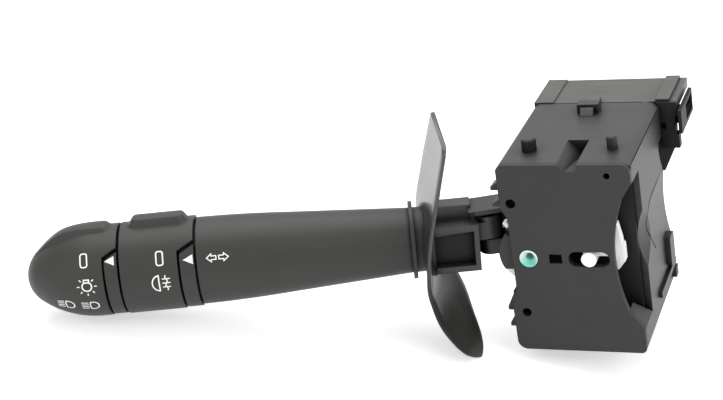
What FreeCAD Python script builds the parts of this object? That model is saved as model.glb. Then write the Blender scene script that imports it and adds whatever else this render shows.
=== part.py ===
# Combination stalk switch for the steering column
# Millimetres. X runs to the column, Y away from the driver, Z up.
# The origin is the foot of the ribbed locating peg on the housing.

import FreeCAD, Part
import math
import os

V = FreeCAD.Vector
os.makedirs("parts", exist_ok=True)

# Clearances
run_clear = 0.06
move_clear = 0.5
seat_clear = 0.05
ring_gap = 0.8
over = 1.0

# Housing
left_x = -9.0
right_x = 37.0
front_y = -13.0
seam_y = 42.0
rear_y = 65.0
top_z = 0.0
bottom_z = -71.4
plate_thick = 2.4
wall = 1.8
side_wall = 2.4
rear_depth = 27.0
plate_y = front_y + plate_thick
corner_top_left = 2.4
corner_top_right = 3.4
corner_low_right = 2.0
corner_low_left = 3.5

# Column relief in the right edge of the front plate
relief_high_z = -7.0
relief_step_x = 33.2
relief_step_z = -12.9
relief_deep_x = 28.9
relief_deep_z = -34.2
relief_low_x = 32.0
relief_low_z = -55.1
relief_end_z = -62.4
side_opening_high_y = -0.6
side_opening_low_y = 1.1

# Inset in the left edge of the front plate, beside the lever
inset_depth = 2.1
inset_high_z = -16.2
inset_low_z = -51.4
inset_slant = 3.7

# Locating pegs
ribbed_peg_radius = 2.4
plain_peg_radius = 1.85
peg_height = 4.6
plain_peg_x = 28.6
plain_peg_y = 1.2
peg_sink = 0.5
ribbed_chamfer = 0.5
plain_chamfer = 0.4

# Screw posts behind the front plate
low_screw_x = -4.25
low_screw_z = -56.5
low_screw_radius = 1.65
high_screw_x = 29.1
high_screw_z = -4.0
high_post_z = -5.2
high_screw_radius = 1.1
post_radius_big = 3.2
screw_deep = 12.0

# Guide groove in the top
groove_front_left = 12.4
groove_back_left = 11.6
groove_front_depth = 2.4
groove_back_depth = 5.2
groove_right_x = 19.1
groove_end_y = 8.2

# Pivot and lever directions
pivot_x = -1.1
pivot_z = -35.2
axis_y = 11.6
lever_lean = 21.3
lever_rise = 3.6
pivot_radius = 3.2
pivot_bore = 1.4
hub_radius = 5.6

# Fork and pull pin
pull_s = 20.0
pull_pin_radius = 1.6
knuckle_radius = 4.8
knuckle_low = 0.9
knuckle_high = 9.5
knuckle_collar = 3.0
fork_low_top = 0.3
fork_low_bottom = -5.4
fork_high_bottom = 11.2
fork_high_top = 12.9
fork_high_half = 6.2
fork_high_out = 24.9
fork_in = 12.4
fork_play = 0.5

# Lever root block
root_in = 24.4
root_out = 40.5
root_half = 8.0
root_top = 7.2
root_bottom = -10.8
ridge_top = 12.55
ridge_in = 26.6
ridge_back = -5.8
ridge_near = 1.9

# Stalk
core_radius = 7.0
spindle_radius = 6.0
core_bore = 3.2
spigot_radius = 4.6
spigot_in = 33.0
sleeve_radius = 11.7
sleeve_length = 8.1
sleeve_end_s = root_out + sleeve_length
flange_radius = 14.0
flange_thick = 1.4
handle_in_s = sleeve_end_s
handle_length = 75.5
handle_out_s = handle_in_s + handle_length
handle_mid_s = handle_in_s + 0.59 * handle_length
handle_late_s = handle_in_s + 0.81 * handle_length
handle_root_radius = 11.7
handle_mid_radius = 14.5
handle_late_radius = 15.4
handle_tip_radius = 15.7
handle_wall = 2.2

# Head rings, each placed from the one before
inner_strip_long = 5.1
fog_long = 20.5
outer_strip_long = 4.4
knob_long = 29.7
inner_strip_in = handle_out_s + ring_gap
inner_strip_out = inner_strip_in + inner_strip_long
fog_in = inner_strip_out + ring_gap
fog_out = fog_in + fog_long
outer_strip_in = fog_out + ring_gap
outer_strip_out = outer_strip_in + outer_strip_long
knob_in = outer_strip_out + ring_gap
knob_tip = knob_in + knob_long
core_step_s = inner_strip_in - 0.9
spindle_end_s = knob_in + 10.7
ring_radius = 16.5
strip_radius = 16.2
ring_wall = 2.1
dome_length = 26.0
dome_nose = 11.5
pointer_angle = 41.0
pointer_tilt = 32.0
pointer_gap = 1.1
strip_low_angle = -136.0
skirt_high_angle = 146.0

# Indicator travel used to clear the moving pieces
swing_angle = 14.0


def block(x0, x1, y0, y1, z0, z1):
    return Part.makeBox(x1 - x0, y1 - y0, z1 - z0, V(x0, y0, z0))


def rod(radius, start, along, length):
    return Part.makeCylinder(radius, length, V(*start), V(*along))


def tube(outer, inner, start, along, length):
    return rod(outer, start, along, length).cut(rod(inner, start, along, length))


def prism_y(points, y0, y1):
    corners = [V(x, y0, z) for x, z in points]
    face = Part.Face(Part.makePolygon(corners + [corners[0]]))
    return face.extrude(V(0, y1 - y0, 0))


def prism_x(points, x0, x1):
    corners = [V(x0, y, z) for y, z in points]
    face = Part.Face(Part.makePolygon(corners + [corners[0]]))
    return face.extrude(V(x1 - x0, 0, 0))


def prism_z(points, z0, z1):
    corners = [V(x, y, z0) for x, y in points]
    face = Part.Face(Part.makePolygon(corners + [corners[0]]))
    return face.extrude(V(0, 0, z1 - z0))


def join(shapes):
    whole = shapes[0]
    for extra in shapes[1:]:
        whole = whole.fuse(extra)
    return whole.removeSplitter()


def round_along(shape, axis, spots):
    # rounds the edges that run along the axis through each spot
    for first, second, radius in spots:
        picked = []
        for edge in shape.Edges:
            ends = [v.Point for v in edge.Vertexes]
            if len(ends) != 2:
                continue
            run = ends[1] - ends[0]
            if run.Length < 0.5:
                continue
            run.normalize()
            middle = (ends[0] + ends[1]) * 0.5
            if axis == "y":
                aligned = abs(run.y) > 0.999
                near = abs(middle.x - first) + abs(middle.z - second) < 0.05
            elif axis == "x":
                aligned = abs(run.x) > 0.999
                near = abs(middle.y - first) + abs(middle.z - second) < 0.05
            else:
                aligned = abs(run.z) > 0.999
                near = abs(middle.x - first) + abs(middle.y - second) < 0.05
            if aligned and near:
                picked.append(edge)
        if picked:
            shape = shape.makeFillet(radius, picked)
    return shape


def carrier_place(shape):
    # carrier frame: x outward along the lever, y to the driver, z up
    turned = shape.copy()
    turned.rotate(V(0, 0, 0), V(0, 0, 1), 180.0 + lever_lean)
    turned.translate(V(pivot_x, axis_y, pivot_z))
    return turned


def stalk_place(shape):
    lifted = shape.copy()
    lifted.rotate(V(0, 0, 0), V(0, 1, 0), -lever_rise)
    return carrier_place(lifted)


def save(name, shape):
    solids = shape.Solids
    if len(solids) == 1:
        shape = solids[0]
    shape.exportStep("parts/" + name + ".step")
    box = shape.BoundBox
    print(name, "solids", len(solids), "valid", shape.isValid(), "volume", round(shape.Volume, 1),
          "x", round(box.XMin, 1), round(box.XMax, 1), "y", round(box.YMin, 1), round(box.YMax, 1),
          "z", round(box.ZMin, 1), round(box.ZMax, 1))


# Shared cutters of the housing
def column_relief(y0, y1):
    beyond = right_x + 6 * over
    arc = Part.Arc(V(relief_step_x, y0, relief_step_z), V(relief_deep_x, y0, relief_deep_z),
                   V(relief_low_x, y0, relief_low_z)).toShape()
    line = [V(relief_low_x, y0, relief_low_z), V(right_x + 0.2, y0, relief_end_z),
            V(beyond, y0, relief_end_z), V(beyond, y0, relief_high_z),
            V(right_x - 0.1, y0, relief_high_z), V(relief_step_x, y0, relief_step_z)]
    edges = [arc]
    for here, there in zip(line[:-1], line[1:]):
        edges.append(Part.makeLine(here, there))
    face = Part.Face(Part.Wire(Part.__sortEdges__(edges)))
    return face.extrude(V(0, y1 - y0, 0))


def flat_face(corners):
    return Part.Face(Part.makePolygon(corners + [corners[0]]))


def wedge_solid(front, back):
    # solid between two flat outlines with the same number of corners
    faces = [flat_face(front), flat_face(back)]
    for here in range(len(front)):
        there = (here + 1) % len(front)
        faces.append(flat_face([front[here], front[there], back[there], back[here]]))
    return Part.Solid(Part.Shell(faces))


def guide_groove():
    run = groove_end_y - front_y

    def section(y):
        part = (y - front_y) / run
        left = groove_front_left + (groove_back_left - groove_front_left) * part
        depth = groove_front_depth + (groove_back_depth - groove_front_depth) * part
        return [V(left - over, y, over), V(left + depth, y, -depth), V(groove_right_x, y, -depth),
                V(groove_right_x, y, over)]

    return wedge_solid(section(front_y - over), section(groove_end_y))


def rounded_box(y0, y1):
    shape = block(left_x, right_x, y0, y1, bottom_z, top_z)
    return round_along(shape, "y", [
        (left_x, top_z, corner_top_left),
        (right_x, bottom_z, corner_low_right),
        (left_x, bottom_z, corner_low_left)])


# Front plate
slot_left = 12.9
slot_right = 27.3
slot_half = 2.85
key_hole_x = 8.4
key_hole_half = 2.25
key_hole_rise = 1.75
plate_hole_x = -5.1
plate_hole_z = -14.3
plate_hole_radius = 1.75

plate = rounded_box(front_y, plate_y)
plate = round_along(plate, "y", [(right_x, top_z, corner_top_right)])
plate = plate.cut(column_relief(front_y - over, plate_y + over))
inset_x = left_x + inset_depth
plate = plate.cut(prism_y([(left_x - over, inset_high_z), (left_x, inset_high_z),
                           (inset_x, inset_high_z - inset_slant), (inset_x, inset_low_z + inset_slant),
                           (left_x, inset_low_z), (left_x - over, inset_low_z)],
                          front_y - over, plate_y + over))
plate = plate.cut(guide_groove())
plate_holes = [(plate_hole_x, plate_hole_z, plate_hole_radius),
               (high_screw_x, high_screw_z, high_screw_radius),
               (low_screw_x, low_screw_z, low_screw_radius),
               (pivot_x, pivot_z, pivot_radius),
               (slot_left + slot_half, pivot_z, slot_half),
               (slot_right - slot_half, pivot_z, slot_half)]
for hole_x, hole_z, hole_radius in plate_holes:
    plate = plate.cut(rod(hole_radius, (hole_x, front_y - over, hole_z), (0, 1, 0), plate_thick + 2 * over))
plate = plate.cut(block(key_hole_x - key_hole_half, key_hole_x + key_hole_half, front_y - over,
                        plate_y + over, pivot_z - key_hole_rise, pivot_z + key_hole_rise))
plate = plate.cut(block(slot_left + slot_half, slot_right - slot_half, front_y - over, plate_y + over,
                        pivot_z - slot_half, pivot_z + slot_half))
save("front_plate", plate)

# Main casing, its top sloping down to a crisp edge on the column side
slope_run = 5.5
slope_drop = 1.4
slope_radius = (slope_run ** 2 + slope_drop ** 2) / (2 * slope_drop)
slope_x = right_x - slope_run
casing = rounded_box(plate_y, seam_y)
slope_cut = block(slope_x, right_x + over, plate_y - over, seam_y + over, top_z - slope_radius, top_z + over)
slope_cut = slope_cut.cut(rod(slope_radius, (slope_x, plate_y - 2 * over, top_z - slope_radius), (0, 1, 0),
                              seam_y - plate_y + 4 * over))
casing = casing.cut(slope_cut.common(block(slope_x, right_x + over, plate_y - over, seam_y + over,
                                           top_z - slope_drop, top_z + over)))
cavity_left = left_x + wall
cavity_right = right_x - side_wall
cavity_back = seam_y - wall
casing = casing.cut(block(cavity_left, cavity_right, plate_y - over, cavity_back,
                          bottom_z + wall, top_z - wall - 0.5 * slope_drop))
groove_block = block(groove_back_left - over, groove_right_x + wall, plate_y, groove_end_y + wall,
                     -groove_back_depth - wall, -wall * 0.5)
casing = casing.fuse(groove_block).cut(guide_groove())

# open front of the column side, with a slanting edge
opening_high_z = relief_high_z - 0.4
side_opening = [(plate_y - over, relief_end_z), (side_opening_low_y, relief_end_z),
                (side_opening_high_y, opening_high_z), (plate_y - over, opening_high_z)]
casing = casing.cut(prism_x(side_opening, cavity_right - over, right_x + over))
ledge_deep = 3.0
ledge_front_y = -7.5
ledge_back_y = 1.9
ledge = prism_y([(relief_low_x, relief_low_z), (right_x, relief_end_z + 0.2),
                 (right_x, relief_end_z - ledge_deep), (relief_low_x, relief_low_z - ledge_deep)],
                plate_y, ledge_back_y)
ledge = ledge.cut(prism_z([(relief_low_x - over, ledge_front_y), (right_x + over, ledge_back_y),
                           (right_x + over, ledge_back_y + ledge_deep),
                           (relief_low_x - over, ledge_back_y + ledge_deep)], bottom_z, 0))
casing = join([casing, ledge])

# shallow scoop in the column side
scoop_radius = 70.0
scoop_start_y = 6.4
scoop_start_z = -31.0
scoop_fall = 9.6
scoop_sink = 2.25
scoop_dir = V(-math.sin(math.radians(scoop_sink)), 1.0, -math.tan(math.radians(scoop_fall)))
scoop_dir.normalize()
scoop_lead = 30.0
scoop_foot = V(right_x + scoop_radius, scoop_start_y, scoop_start_z) - scoop_dir * scoop_lead
scoop = Part.makeCylinder(scoop_radius, 3 * scoop_lead, scoop_foot, scoop_dir)
casing = casing.cut(scoop)
# hollowed lip at the front of the column side
lip_radius = 27.0
lip_depth = 1.7
lip_run = 6.5
lip_z = -33.8
lip_dir = V(lip_depth, lip_run, 0)
lip_dir.normalize()
lip_lead = 10.0
lip_foot = V(right_x - lip_depth + lip_radius, side_opening_high_y, lip_z) - lip_dir * lip_lead
casing = casing.cut(Part.makeCylinder(lip_radius, 4 * lip_lead, lip_foot, lip_dir))

# lever window in the left side
window_front = -3.5
window_back = 21.0
window_top = -8.0
window_bottom = -62.0
cheek_top = -19.0
cheek_bottom = -49.5
casing = casing.cut(block(left_x - over, cavity_left + 0.5, window_front, window_back,
                          window_bottom, window_top))
casing = casing.cut(block(left_x - over, cavity_left + 0.5, plate_y - over, window_front + over,
                          cheek_bottom, cheek_top))
# passage for the terminal blades
passage_left = -6.2
passage_right = 33.6
passage_low = -24.0
passage_high = -4.0
casing = casing.cut(block(passage_left, passage_right, cavity_back - over, seam_y + over,
                          passage_low, passage_high))


# pegs on the top face
def top_peg(radius, x, y, chamfer):
    peg = rod(radius, (x, y, -peg_sink), (0, 0, 1), peg_height + peg_sink)
    rim = [e for e in peg.Edges if e.BoundBox.ZMin > peg_height - 0.01]
    return peg.makeChamfer(chamfer, rim)


ribbed_peg = top_peg(ribbed_peg_radius, 0, 0, ribbed_chamfer)
plain_peg = top_peg(plain_peg_radius, plain_peg_x, plain_peg_y, plain_chamfer)

# snap bridge before the seam
bridge_left = 9.4
bridge_right = 17.2
bridge_front = 32.2
bridge_back = 36.4
bridge_top = 3.3
bridge_plate = 0.9
bridge_leg = 1.2
bridge = block(bridge_left, bridge_right, bridge_front, bridge_back, -peg_sink, bridge_top)
bridge = bridge.cut(block(bridge_left + bridge_leg, bridge_right - bridge_leg, bridge_front - over,
                          bridge_back + over, -over, bridge_top - bridge_plate))

# wedge teeth on the left edge: foot height, rise along the edge, reach
tooth_front = -10.0
tooth_back = -5.0
tooth_tip = 1.3
teeth = []
tooth_shapes = [(-10.6, 4.0, 3.5), (-16.8, 3.2, 3.5), (-57.3, 7.6, 2.8), (-63.9, 6.0, 2.7)]
for tooth_z, tooth_rise, tooth_reach in tooth_shapes:
    tooth_x = left_x - tooth_reach
    teeth.append(prism_y([(left_x + 0.3, tooth_z + tooth_rise), (tooth_x, tooth_z + tooth_tip),
                          (tooth_x, tooth_z), (left_x + 0.3, tooth_z)], tooth_front, tooth_back))

# lug, slide bar and stop on the column side
lug_front = 30.0
lug_back = 37.0
lug_low = -60.0
lug_high = -48.5
lug_rise = 2.0
lug_corner = 1.2
side_sink = 0.4
lug = block(right_x - side_sink, right_x + lug_rise, lug_front, lug_back, lug_low, lug_high)
lug_corners = [(y, z, lug_corner) for y in (lug_front, lug_back) for z in (lug_low, lug_high)]
lug = round_along(lug, "x", lug_corners)
bar_front = 13.0
bar_back = 41.0
bar_low = -63.8
bar_high = -61.6
bar_rise = 1.3
slide_bar = block(right_x - side_sink, right_x + bar_rise, bar_front, bar_back, bar_low, bar_high)
stop_front = 37.5
stop_low = -68.5
stop_high = -64.5
stop_rise = 1.8
stop = block(right_x - side_sink, right_x + stop_rise, stop_front, bar_back, stop_low, stop_high)
casing = join([casing, ribbed_peg, plain_peg, bridge, lug, stop, slide_bar] + teeth)

# bosses that hold the pivot pin, the front plate and the track
pin_boss_y = 33.0
pin_boss_half = 5.0
pin_seat = 6.0
post_run = cavity_back - plate_y + 0.2
pin_boss = block(pivot_x - pin_boss_half, pivot_x + pin_boss_half, pin_boss_y, cavity_back + 0.2,
                 pivot_z - pin_boss_half, pivot_z + pin_boss_half)
screw_start = plate_y - over
post_low = rod(post_radius_big, (low_screw_x, plate_y, low_screw_z), (0, 1, 0), post_run)
post_low = post_low.cut(rod(low_screw_radius, (low_screw_x, screw_start, low_screw_z), (0, 1, 0), screw_deep))
post_high = rod(post_radius_big, (high_screw_x, plate_y, high_post_z), (0, 1, 0), post_run)
post_high = post_high.cut(rod(high_screw_radius, (high_screw_x, screw_start, high_screw_z), (0, 1, 0),
                              screw_deep))
casing = join([casing, pin_boss, post_low, post_high])
casing = casing.cut(rod(pivot_radius, (pivot_x, pin_boss_y - over, pivot_z), (0, 1, 0), pin_seat))
save("main_casing", casing)

# Terminal blades in two groups of two rows
board_front = 29.0
board_back = 30.6
blade_wide = 1.6
blade_thick = 0.6
blade_pitch = 3.0
blades_per_row = 6
blade_rows = (-9.0, -16.0)
blade_starts = (-5.2, 16.0)
blade_end = rear_y - 6.0
blades = []
for row_z in blade_rows:
    for column in range(blades_per_row):
        for start_x in blade_starts:
            blade_x = start_x + column * blade_pitch
            blades.append(block(blade_x, blade_x + blade_wide, board_back, blade_end,
                                row_z - blade_thick, row_z))

# Rear casing with two sockets, a rail along its top and a pad
rear_bottom = top_z - rear_depth
rail_out = right_x + 6.0
rail_low = -3.4
rail_high = 0.9
pad_high = 0.4
pad_wide = 7.2
rail_sink = 1.5
rear_casing = block(left_x, right_x, seam_y, rear_y, rear_bottom, top_z)
rail = block(right_x - rail_sink, rail_out, seam_y, rear_y, rail_low, top_z)
rail_ridge = block(right_x - rail_sink, right_x + 3.5, seam_y, rear_y, top_z - 0.5, rail_high)
pad = block(left_x, left_x + pad_wide, seam_y, rear_y, top_z - 0.5, pad_high)
rear_casing = join([rear_casing, rail, rail_ridge, pad])
socket_front = seam_y + 4.0
socket_mid = 12.0
socket_rib = 1.0
socket_bottom = rear_bottom + wall
socket_top = top_z - wall - 0.4
socket_spans = [(left_x + wall, socket_mid - socket_rib), (socket_mid + socket_rib, right_x - wall)]
for socket_x0, socket_x1 in socket_spans:
    rear_casing = rear_casing.cut(block(socket_x0, socket_x1, socket_front, rear_y + over,
                                        socket_bottom, socket_top))
for blade in blades:
    rear_casing = rear_casing.cut(blade)
# tongue that snaps under the bridge
tongue_play = 0.4
tongue_thick = 1.4
tongue_left = bridge_left + bridge_leg + tongue_play
tongue_right = bridge_right - bridge_leg - tongue_play
nose_back = bridge_front - tongue_play
nose_high = bridge_top - bridge_plate
snap_tongue = block(tongue_left, tongue_right, nose_back - over, seam_y + 2 * over,
                    top_z, top_z + tongue_thick)
snap_nose = prism_x([(nose_back - over, top_z), (nose_back - 2.4, top_z), (nose_back - over, nose_high),
                     (nose_back, nose_high), (nose_back, top_z)], tongue_left, tongue_right)
rear_casing = join([rear_casing, snap_tongue, snap_nose])
save("rear_casing", rear_casing)

# Column side bracket at the end of the rail, with its square hole
bracket_left = right_x - 0.9
bracket_right = right_x + 6.4
bracket_front = 40.5
bracket_back = 44.0
bracket_low = -17.5
bracket_wall = 1.9
bracket_hole = 2.4
bracket_hole_z = -7.6
hook_cut_z = -5.0
hook_low_z = -12.0
bracket = block(bracket_left, bracket_right, bracket_front, bracket_back, bracket_low, top_z)
bracket = bracket.cut(block(bracket_left - over, bracket_right + over, seam_y, bracket_back + over,
                            rail_low, top_z + over))
bracket = bracket.cut(block(right_x - over, right_x + 3.4, bracket_front + bracket_wall, bracket_back + over,
                            bracket_low - over, rail_low - over))
bracket = bracket.cut(block(bracket_left - over, bracket_left + 2.9, bracket_front - over,
                            bracket_front + bracket_hole, bracket_hole_z - bracket_hole, bracket_hole_z))
bracket = bracket.cut(block(bracket_right - over, bracket_right + over, bracket_front - over,
                            bracket_back + over, hook_low_z, hook_cut_z))
bracket = bracket.cut(block(left_x, right_x, bracket_front - over, bracket_back + over,
                            bracket_low - over, top_z - slope_drop))
slope_body = rod(slope_radius, (slope_x, plate_y, top_z - slope_radius), (0, 1, 0), seam_y - plate_y)
slope_body = slope_body.common(block(slope_x, right_x, plate_y, seam_y, top_z - slope_radius, top_z))
bracket = bracket.cut(slope_body)
bracket = bracket.cut(block(left_x, right_x, seam_y, bracket_back + over, bracket_low - over, top_z + over))
save("side_bracket", bracket)

# Latch loop beside the rear casing
loop_x = right_x + 6.9
loop_thick = 1.3
loop_bar = 1.4
loop_front = 38.0
loop_back = 60.5
loop_low = -10.9
loop_high = -2.2
neck_front = bracket_back + 0.4
neck_back = neck_front + 3.0
loop = block(loop_x, loop_x + loop_thick, loop_front, loop_back, loop_low, loop_high)
loop = loop.cut(block(loop_x - over, loop_x + loop_thick + over, neck_back, loop_back - loop_bar,
                      loop_low + loop_bar, loop_high - loop_bar))
loop_neck = block(right_x, loop_x + 0.2, neck_front, neck_back, loop_low + loop_bar, rail_low)
loop = join([loop, loop_neck])
save("latch_loop", loop)

# Contact board and terminal blades
board_left = -6.4
board_right = 33.4
board_low = -52.0
board_high = -6.0
board = block(board_left, board_right, board_front, board_back, board_low, board_high)
board_play = 4 * over
board_holes = [(pivot_x, pivot_z, hub_radius + move_clear),
               (high_screw_x, high_post_z, post_radius_big + seat_clear)]
for hole_x, hole_z, hole_radius in board_holes:
    board = board.cut(rod(hole_radius, (hole_x, board_front - over, hole_z), (0, 1, 0), board_play))
board_leg_left = 10.0
board_leg_right = 30.0
board_leg_high = 3.0
board_mid_low = -31.0
board_leg = block(board_leg_left, board_leg_right, board_back, cavity_back, board_mid_low,
                  board_mid_low + board_leg_high)
board_foot = block(board_leg_left, board_leg_right, board_back, cavity_back, board_low,
                   board_low + board_leg_high)
board = join([board, board_leg, board_foot])
save("contact_board", board)
save("terminal_blades", Part.makeCompound(blades))

# Hollow pivot pin
pin_front = front_y - 0.3
pin_back = 37.5
pin = tube(pivot_radius, pivot_bore, (pivot_x, pin_front, pivot_z), (0, 1, 0), pin_back - pin_front)
pin_mouth = 2.7
pin_mouth_deep = 1.8
pin_mouth_at = V(pivot_x, pin_front, pivot_z)
pin = pin.cut(Part.makeCone(pin_mouth, pivot_bore, pin_mouth_deep, pin_mouth_at, V(0, 1, 0)))
save("pivot_pin", pin)

# Detent track with three notches
track_inner = 21.2
track_outer = 26.0
track_front = 4.5
track_back = 14.5
track_half = 9.6
track_start = 18.5
notch_radius = 1.5
notch_shift = 0.3
track = tube(track_outer, track_inner, (pivot_x, track_front, pivot_z), (0, 1, 0), track_back - track_front)
track = track.common(block(pivot_x + track_start, pivot_x + track_outer + over, track_front - over,
                           track_back + over, pivot_z - track_half, pivot_z + track_half))
for notch_angle in (-swing_angle, 0.0, swing_angle):
    around = math.radians(notch_angle)
    notch_x = pivot_x + (track_inner + notch_shift) * math.cos(around)
    notch_z = pivot_z + (track_inner + notch_shift) * math.sin(around)
    track = track.cut(rod(notch_radius, (notch_x, track_front - over, notch_z), (0, 1, 0),
                          track_back - track_front + 2 * over))
track_foot_half = 5.0
track_foot = block(pivot_x + track_outer - 2.0, cavity_right, track_front, track_back,
                   pivot_z - track_foot_half, pivot_z + track_foot_half)
track = join([track, track_foot])
save("detent_track", track)

# Inner wall behind the cancelling finger
guide_front = -1.2
guide_back = 0.2
guide_left = 6.2
guide_low = -62.0
guide_high = -8.8
guide_leg_left = 27.0
guide_leg_right = 33.0
guide_leg_in = 1.8
guide_leg_out = 4.6
guide = block(guide_left, cavity_right, guide_front, guide_back, guide_low, guide_high).cut(ledge)
guide_leg_low = block(guide_leg_left, guide_leg_right, guide_back - 0.2, track_front,
                      pivot_z - guide_leg_out, pivot_z - guide_leg_in)
guide_leg_high = block(guide_leg_left, guide_leg_right, guide_back - 0.2, track_front,
                       pivot_z + guide_leg_in, pivot_z + guide_leg_out)
guide = join([guide, guide_leg_low, guide_leg_high])
save("cancel_guide", guide)

# Lever carrier: hub, cheek, fork arms, detent arm and wiper arm
hub_front = -10.0
hub_back = pin_boss_y - move_clear
hub = rod(hub_radius, (pivot_x, hub_front, pivot_z), (0, 1, 0), hub_back - hub_front)
cheek_radius = 11.4
cheek_back = -7.8
cheek_rise = 7.2
cheek_drop = 5.8
cheek = rod(cheek_radius, (pivot_x, hub_front, pivot_z), (0, 1, 0), cheek_back - hub_front)
cheek = cheek.common(block(pivot_x - cheek_radius - over, pivot_x, hub_front - over, cheek_back + over,
                           pivot_z - cheek_drop, pivot_z + cheek_rise))
base_half = 7.0
fork_base = prism_y([(1.0, -6.0), (1.0, 6.5), (5.0, fork_high_top), (fork_in + over, fork_high_top),
                     (fork_in + over, fork_low_bottom), (8.0, -9.0), (3.0, -9.0)], -base_half, base_half)
arm_low_radius = 4.4
arm_low = block(fork_in, pull_s, -arm_low_radius, arm_low_radius, fork_low_bottom, fork_low_top)
arm_low = arm_low.fuse(rod(arm_low_radius, (pull_s, 0, fork_low_bottom), (0, 0, 1),
                           fork_low_top - fork_low_bottom))
arm_high = block(fork_in, fork_high_out, -fork_high_half, fork_high_half, fork_high_bottom, fork_high_top)
carrier_body = join([fork_base, arm_low, arm_high])
carrier_body = carrier_body.cut(rod(pull_pin_radius, (pull_s, 0, fork_low_bottom - over), (0, 0, 1),
                                    fork_high_bottom + 2 * over - fork_low_bottom))
carrier_body = carrier_place(carrier_body)
detent_front = 5.0
detent_back = 14.0
detent_mid = 0.5 * (detent_front + detent_back)
detent_half = 4.5
detent_reach = 15.0
arm_start = 3.0
detent_arm = block(pivot_x + arm_start, pivot_x + detent_reach, detent_front, detent_back,
                   pivot_z - detent_half, pivot_z + detent_half)
wiper_front = 26.6
wiper_arm_front = 21.0
wiper_arm_reach = 22.0
wiper_arm_half = 3.0
wiper_arm = block(pivot_x + arm_start, pivot_x + wiper_arm_reach, wiper_arm_front, wiper_front,
                  pivot_z - wiper_arm_half, pivot_z + wiper_arm_half)
carrier = join([hub, cheek, carrier_body, detent_arm, wiper_arm])
carrier = carrier.cut(rod(pivot_radius + run_clear, (pivot_x, hub_front - over, pivot_z), (0, 1, 0),
                          hub_back - hub_front + 2 * over))
plunger_radius = 2.6
plunger_bore = plunger_radius + run_clear
bore_start = pivot_x + 5.4
bore_deep = 12.0
carrier = carrier.cut(rod(plunger_bore, (bore_start, detent_mid, pivot_z), (1, 0, 0), bore_deep))
save("lever_carrier", carrier)

# White rotor behind the cheek, with a lobe and a finger that look out beside the plate
rotor_radius = 12.4
rotor_ring = 9.0
rotor_front = cheek_back
rotor_back = rotor_front + 2.2
rotor_thick = rotor_back - rotor_front
finger_tip_x = -9.7
finger_tip_z = -24.5
finger_tip_radius = 0.85
finger_turn = math.degrees(math.atan2(finger_tip_z - pivot_z, finger_tip_x - pivot_x))
finger_reach = math.hypot(finger_tip_z - pivot_z, finger_tip_x - pivot_x)
rotor = rod(rotor_ring, (pivot_x, rotor_front, pivot_z), (0, 1, 0), rotor_thick)
lobe = rod(rotor_radius, (pivot_x, rotor_front, pivot_z), (0, 1, 0), rotor_thick)
lobe = lobe.common(block(pivot_x - rotor_radius - over, pivot_x, rotor_front - over, rotor_back + over,
                         pivot_z - rotor_radius - over, pivot_z - cheek_drop))
white_finger = block(0, finger_reach, rotor_front, rotor_back, -finger_tip_radius, finger_tip_radius)
white_finger = white_finger.fuse(rod(finger_tip_radius, (finger_reach, rotor_front, 0), (0, 1, 0),
                                     rotor_thick))
white_finger.rotate(V(0, 0, 0), V(0, 1, 0), -finger_turn)
white_finger.translate(V(pivot_x, 0, pivot_z))
rotor = join([rotor, lobe, white_finger])
rotor = rotor.cut(rod(hub_radius, (pivot_x, rotor_front - over, pivot_z), (0, 1, 0), rotor_thick + 2 * over))
save("signal_rotor", rotor)

# Copper wiper of the direction contacts
leaf_thick = 0.6
leaf_half = 2.6
leaf_in = 8.0
leaf_out = 21.5
dot_base = 1.5
dot_top = 0.8
dot_high = 1.1
wiper = block(pivot_x + leaf_in, pivot_x + leaf_out, wiper_front, wiper_front + leaf_thick,
              pivot_z - leaf_half, pivot_z + leaf_half)
for dot_x in (10.5, 14.5, 18.5):
    wiper = wiper.fuse(Part.makeCone(dot_base, dot_top, dot_high,
                                     V(pivot_x + dot_x, wiper_front + leaf_thick, pivot_z), V(0, 1, 0)))
wiper = wiper.removeSplitter()
save("signal_wiper", wiper)

# Pull pin through the fork
pin_low_stand = 0.4
pin_length = fork_high_bottom + over - fork_low_bottom + pin_low_stand
pull_pin = rod(pull_pin_radius, (pull_s, 0, fork_low_bottom - pin_low_stand), (0, 0, 1), pin_length)
save("pull_pin", carrier_place(pull_pin))

# Detent plunger and its spring
plunger_tip = 20.6
plunger_tail = 9.4
plunger_hollow = 6.6
hollow_radius = 1.9
tip_length = 2.0
tip_radius = 1.0
tip_start = pivot_x + plunger_tip - tip_length
plunger = rod(plunger_radius, (pivot_x + plunger_tail, detent_mid, pivot_z), (1, 0, 0),
              plunger_tip - tip_length - plunger_tail)
plunger = plunger.fuse(Part.makeCone(plunger_radius, tip_radius, tip_length,
                                     V(tip_start, detent_mid, pivot_z), V(1, 0, 0)))
plunger = plunger.cut(rod(hollow_radius, (pivot_x + plunger_tail - over, detent_mid, pivot_z), (1, 0, 0),
                          plunger_hollow + over))
plunger = plunger.removeSplitter()
save("detent_plunger", plunger)

spring_radius = 1.3
spring_wire = 0.28
spring_pitch = 1.84
plunger_travel = 1.0
spring_foot = bore_start + spring_wire + 0.02
spring_top = pivot_x + plunger_tail + plunger_hollow - plunger_travel - spring_wire - 0.1
steps_per_turn = 12
wire_sides = 6
coil_steps = round((spring_top - spring_foot) / spring_pitch * steps_per_turn)
coil_sections = []
for step in range(coil_steps + 1):
    turned = 2 * math.pi * step / steps_per_turn
    run = spring_foot + (spring_top - spring_foot) * step / coil_steps
    ring_points = []
    for side in range(wire_sides):
        around = 2 * math.pi * side / wire_sides
        reach = spring_radius + spring_wire * math.cos(around)
        ring_points.append(V(run + spring_wire * math.sin(around), detent_mid + reach * math.cos(turned),
                             pivot_z + reach * math.sin(turned)))
    coil_sections.append(Part.makePolygon(ring_points + [ring_points[0]]))
save("detent_spring", Part.makeLoft(coil_sections, True, True))

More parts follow.
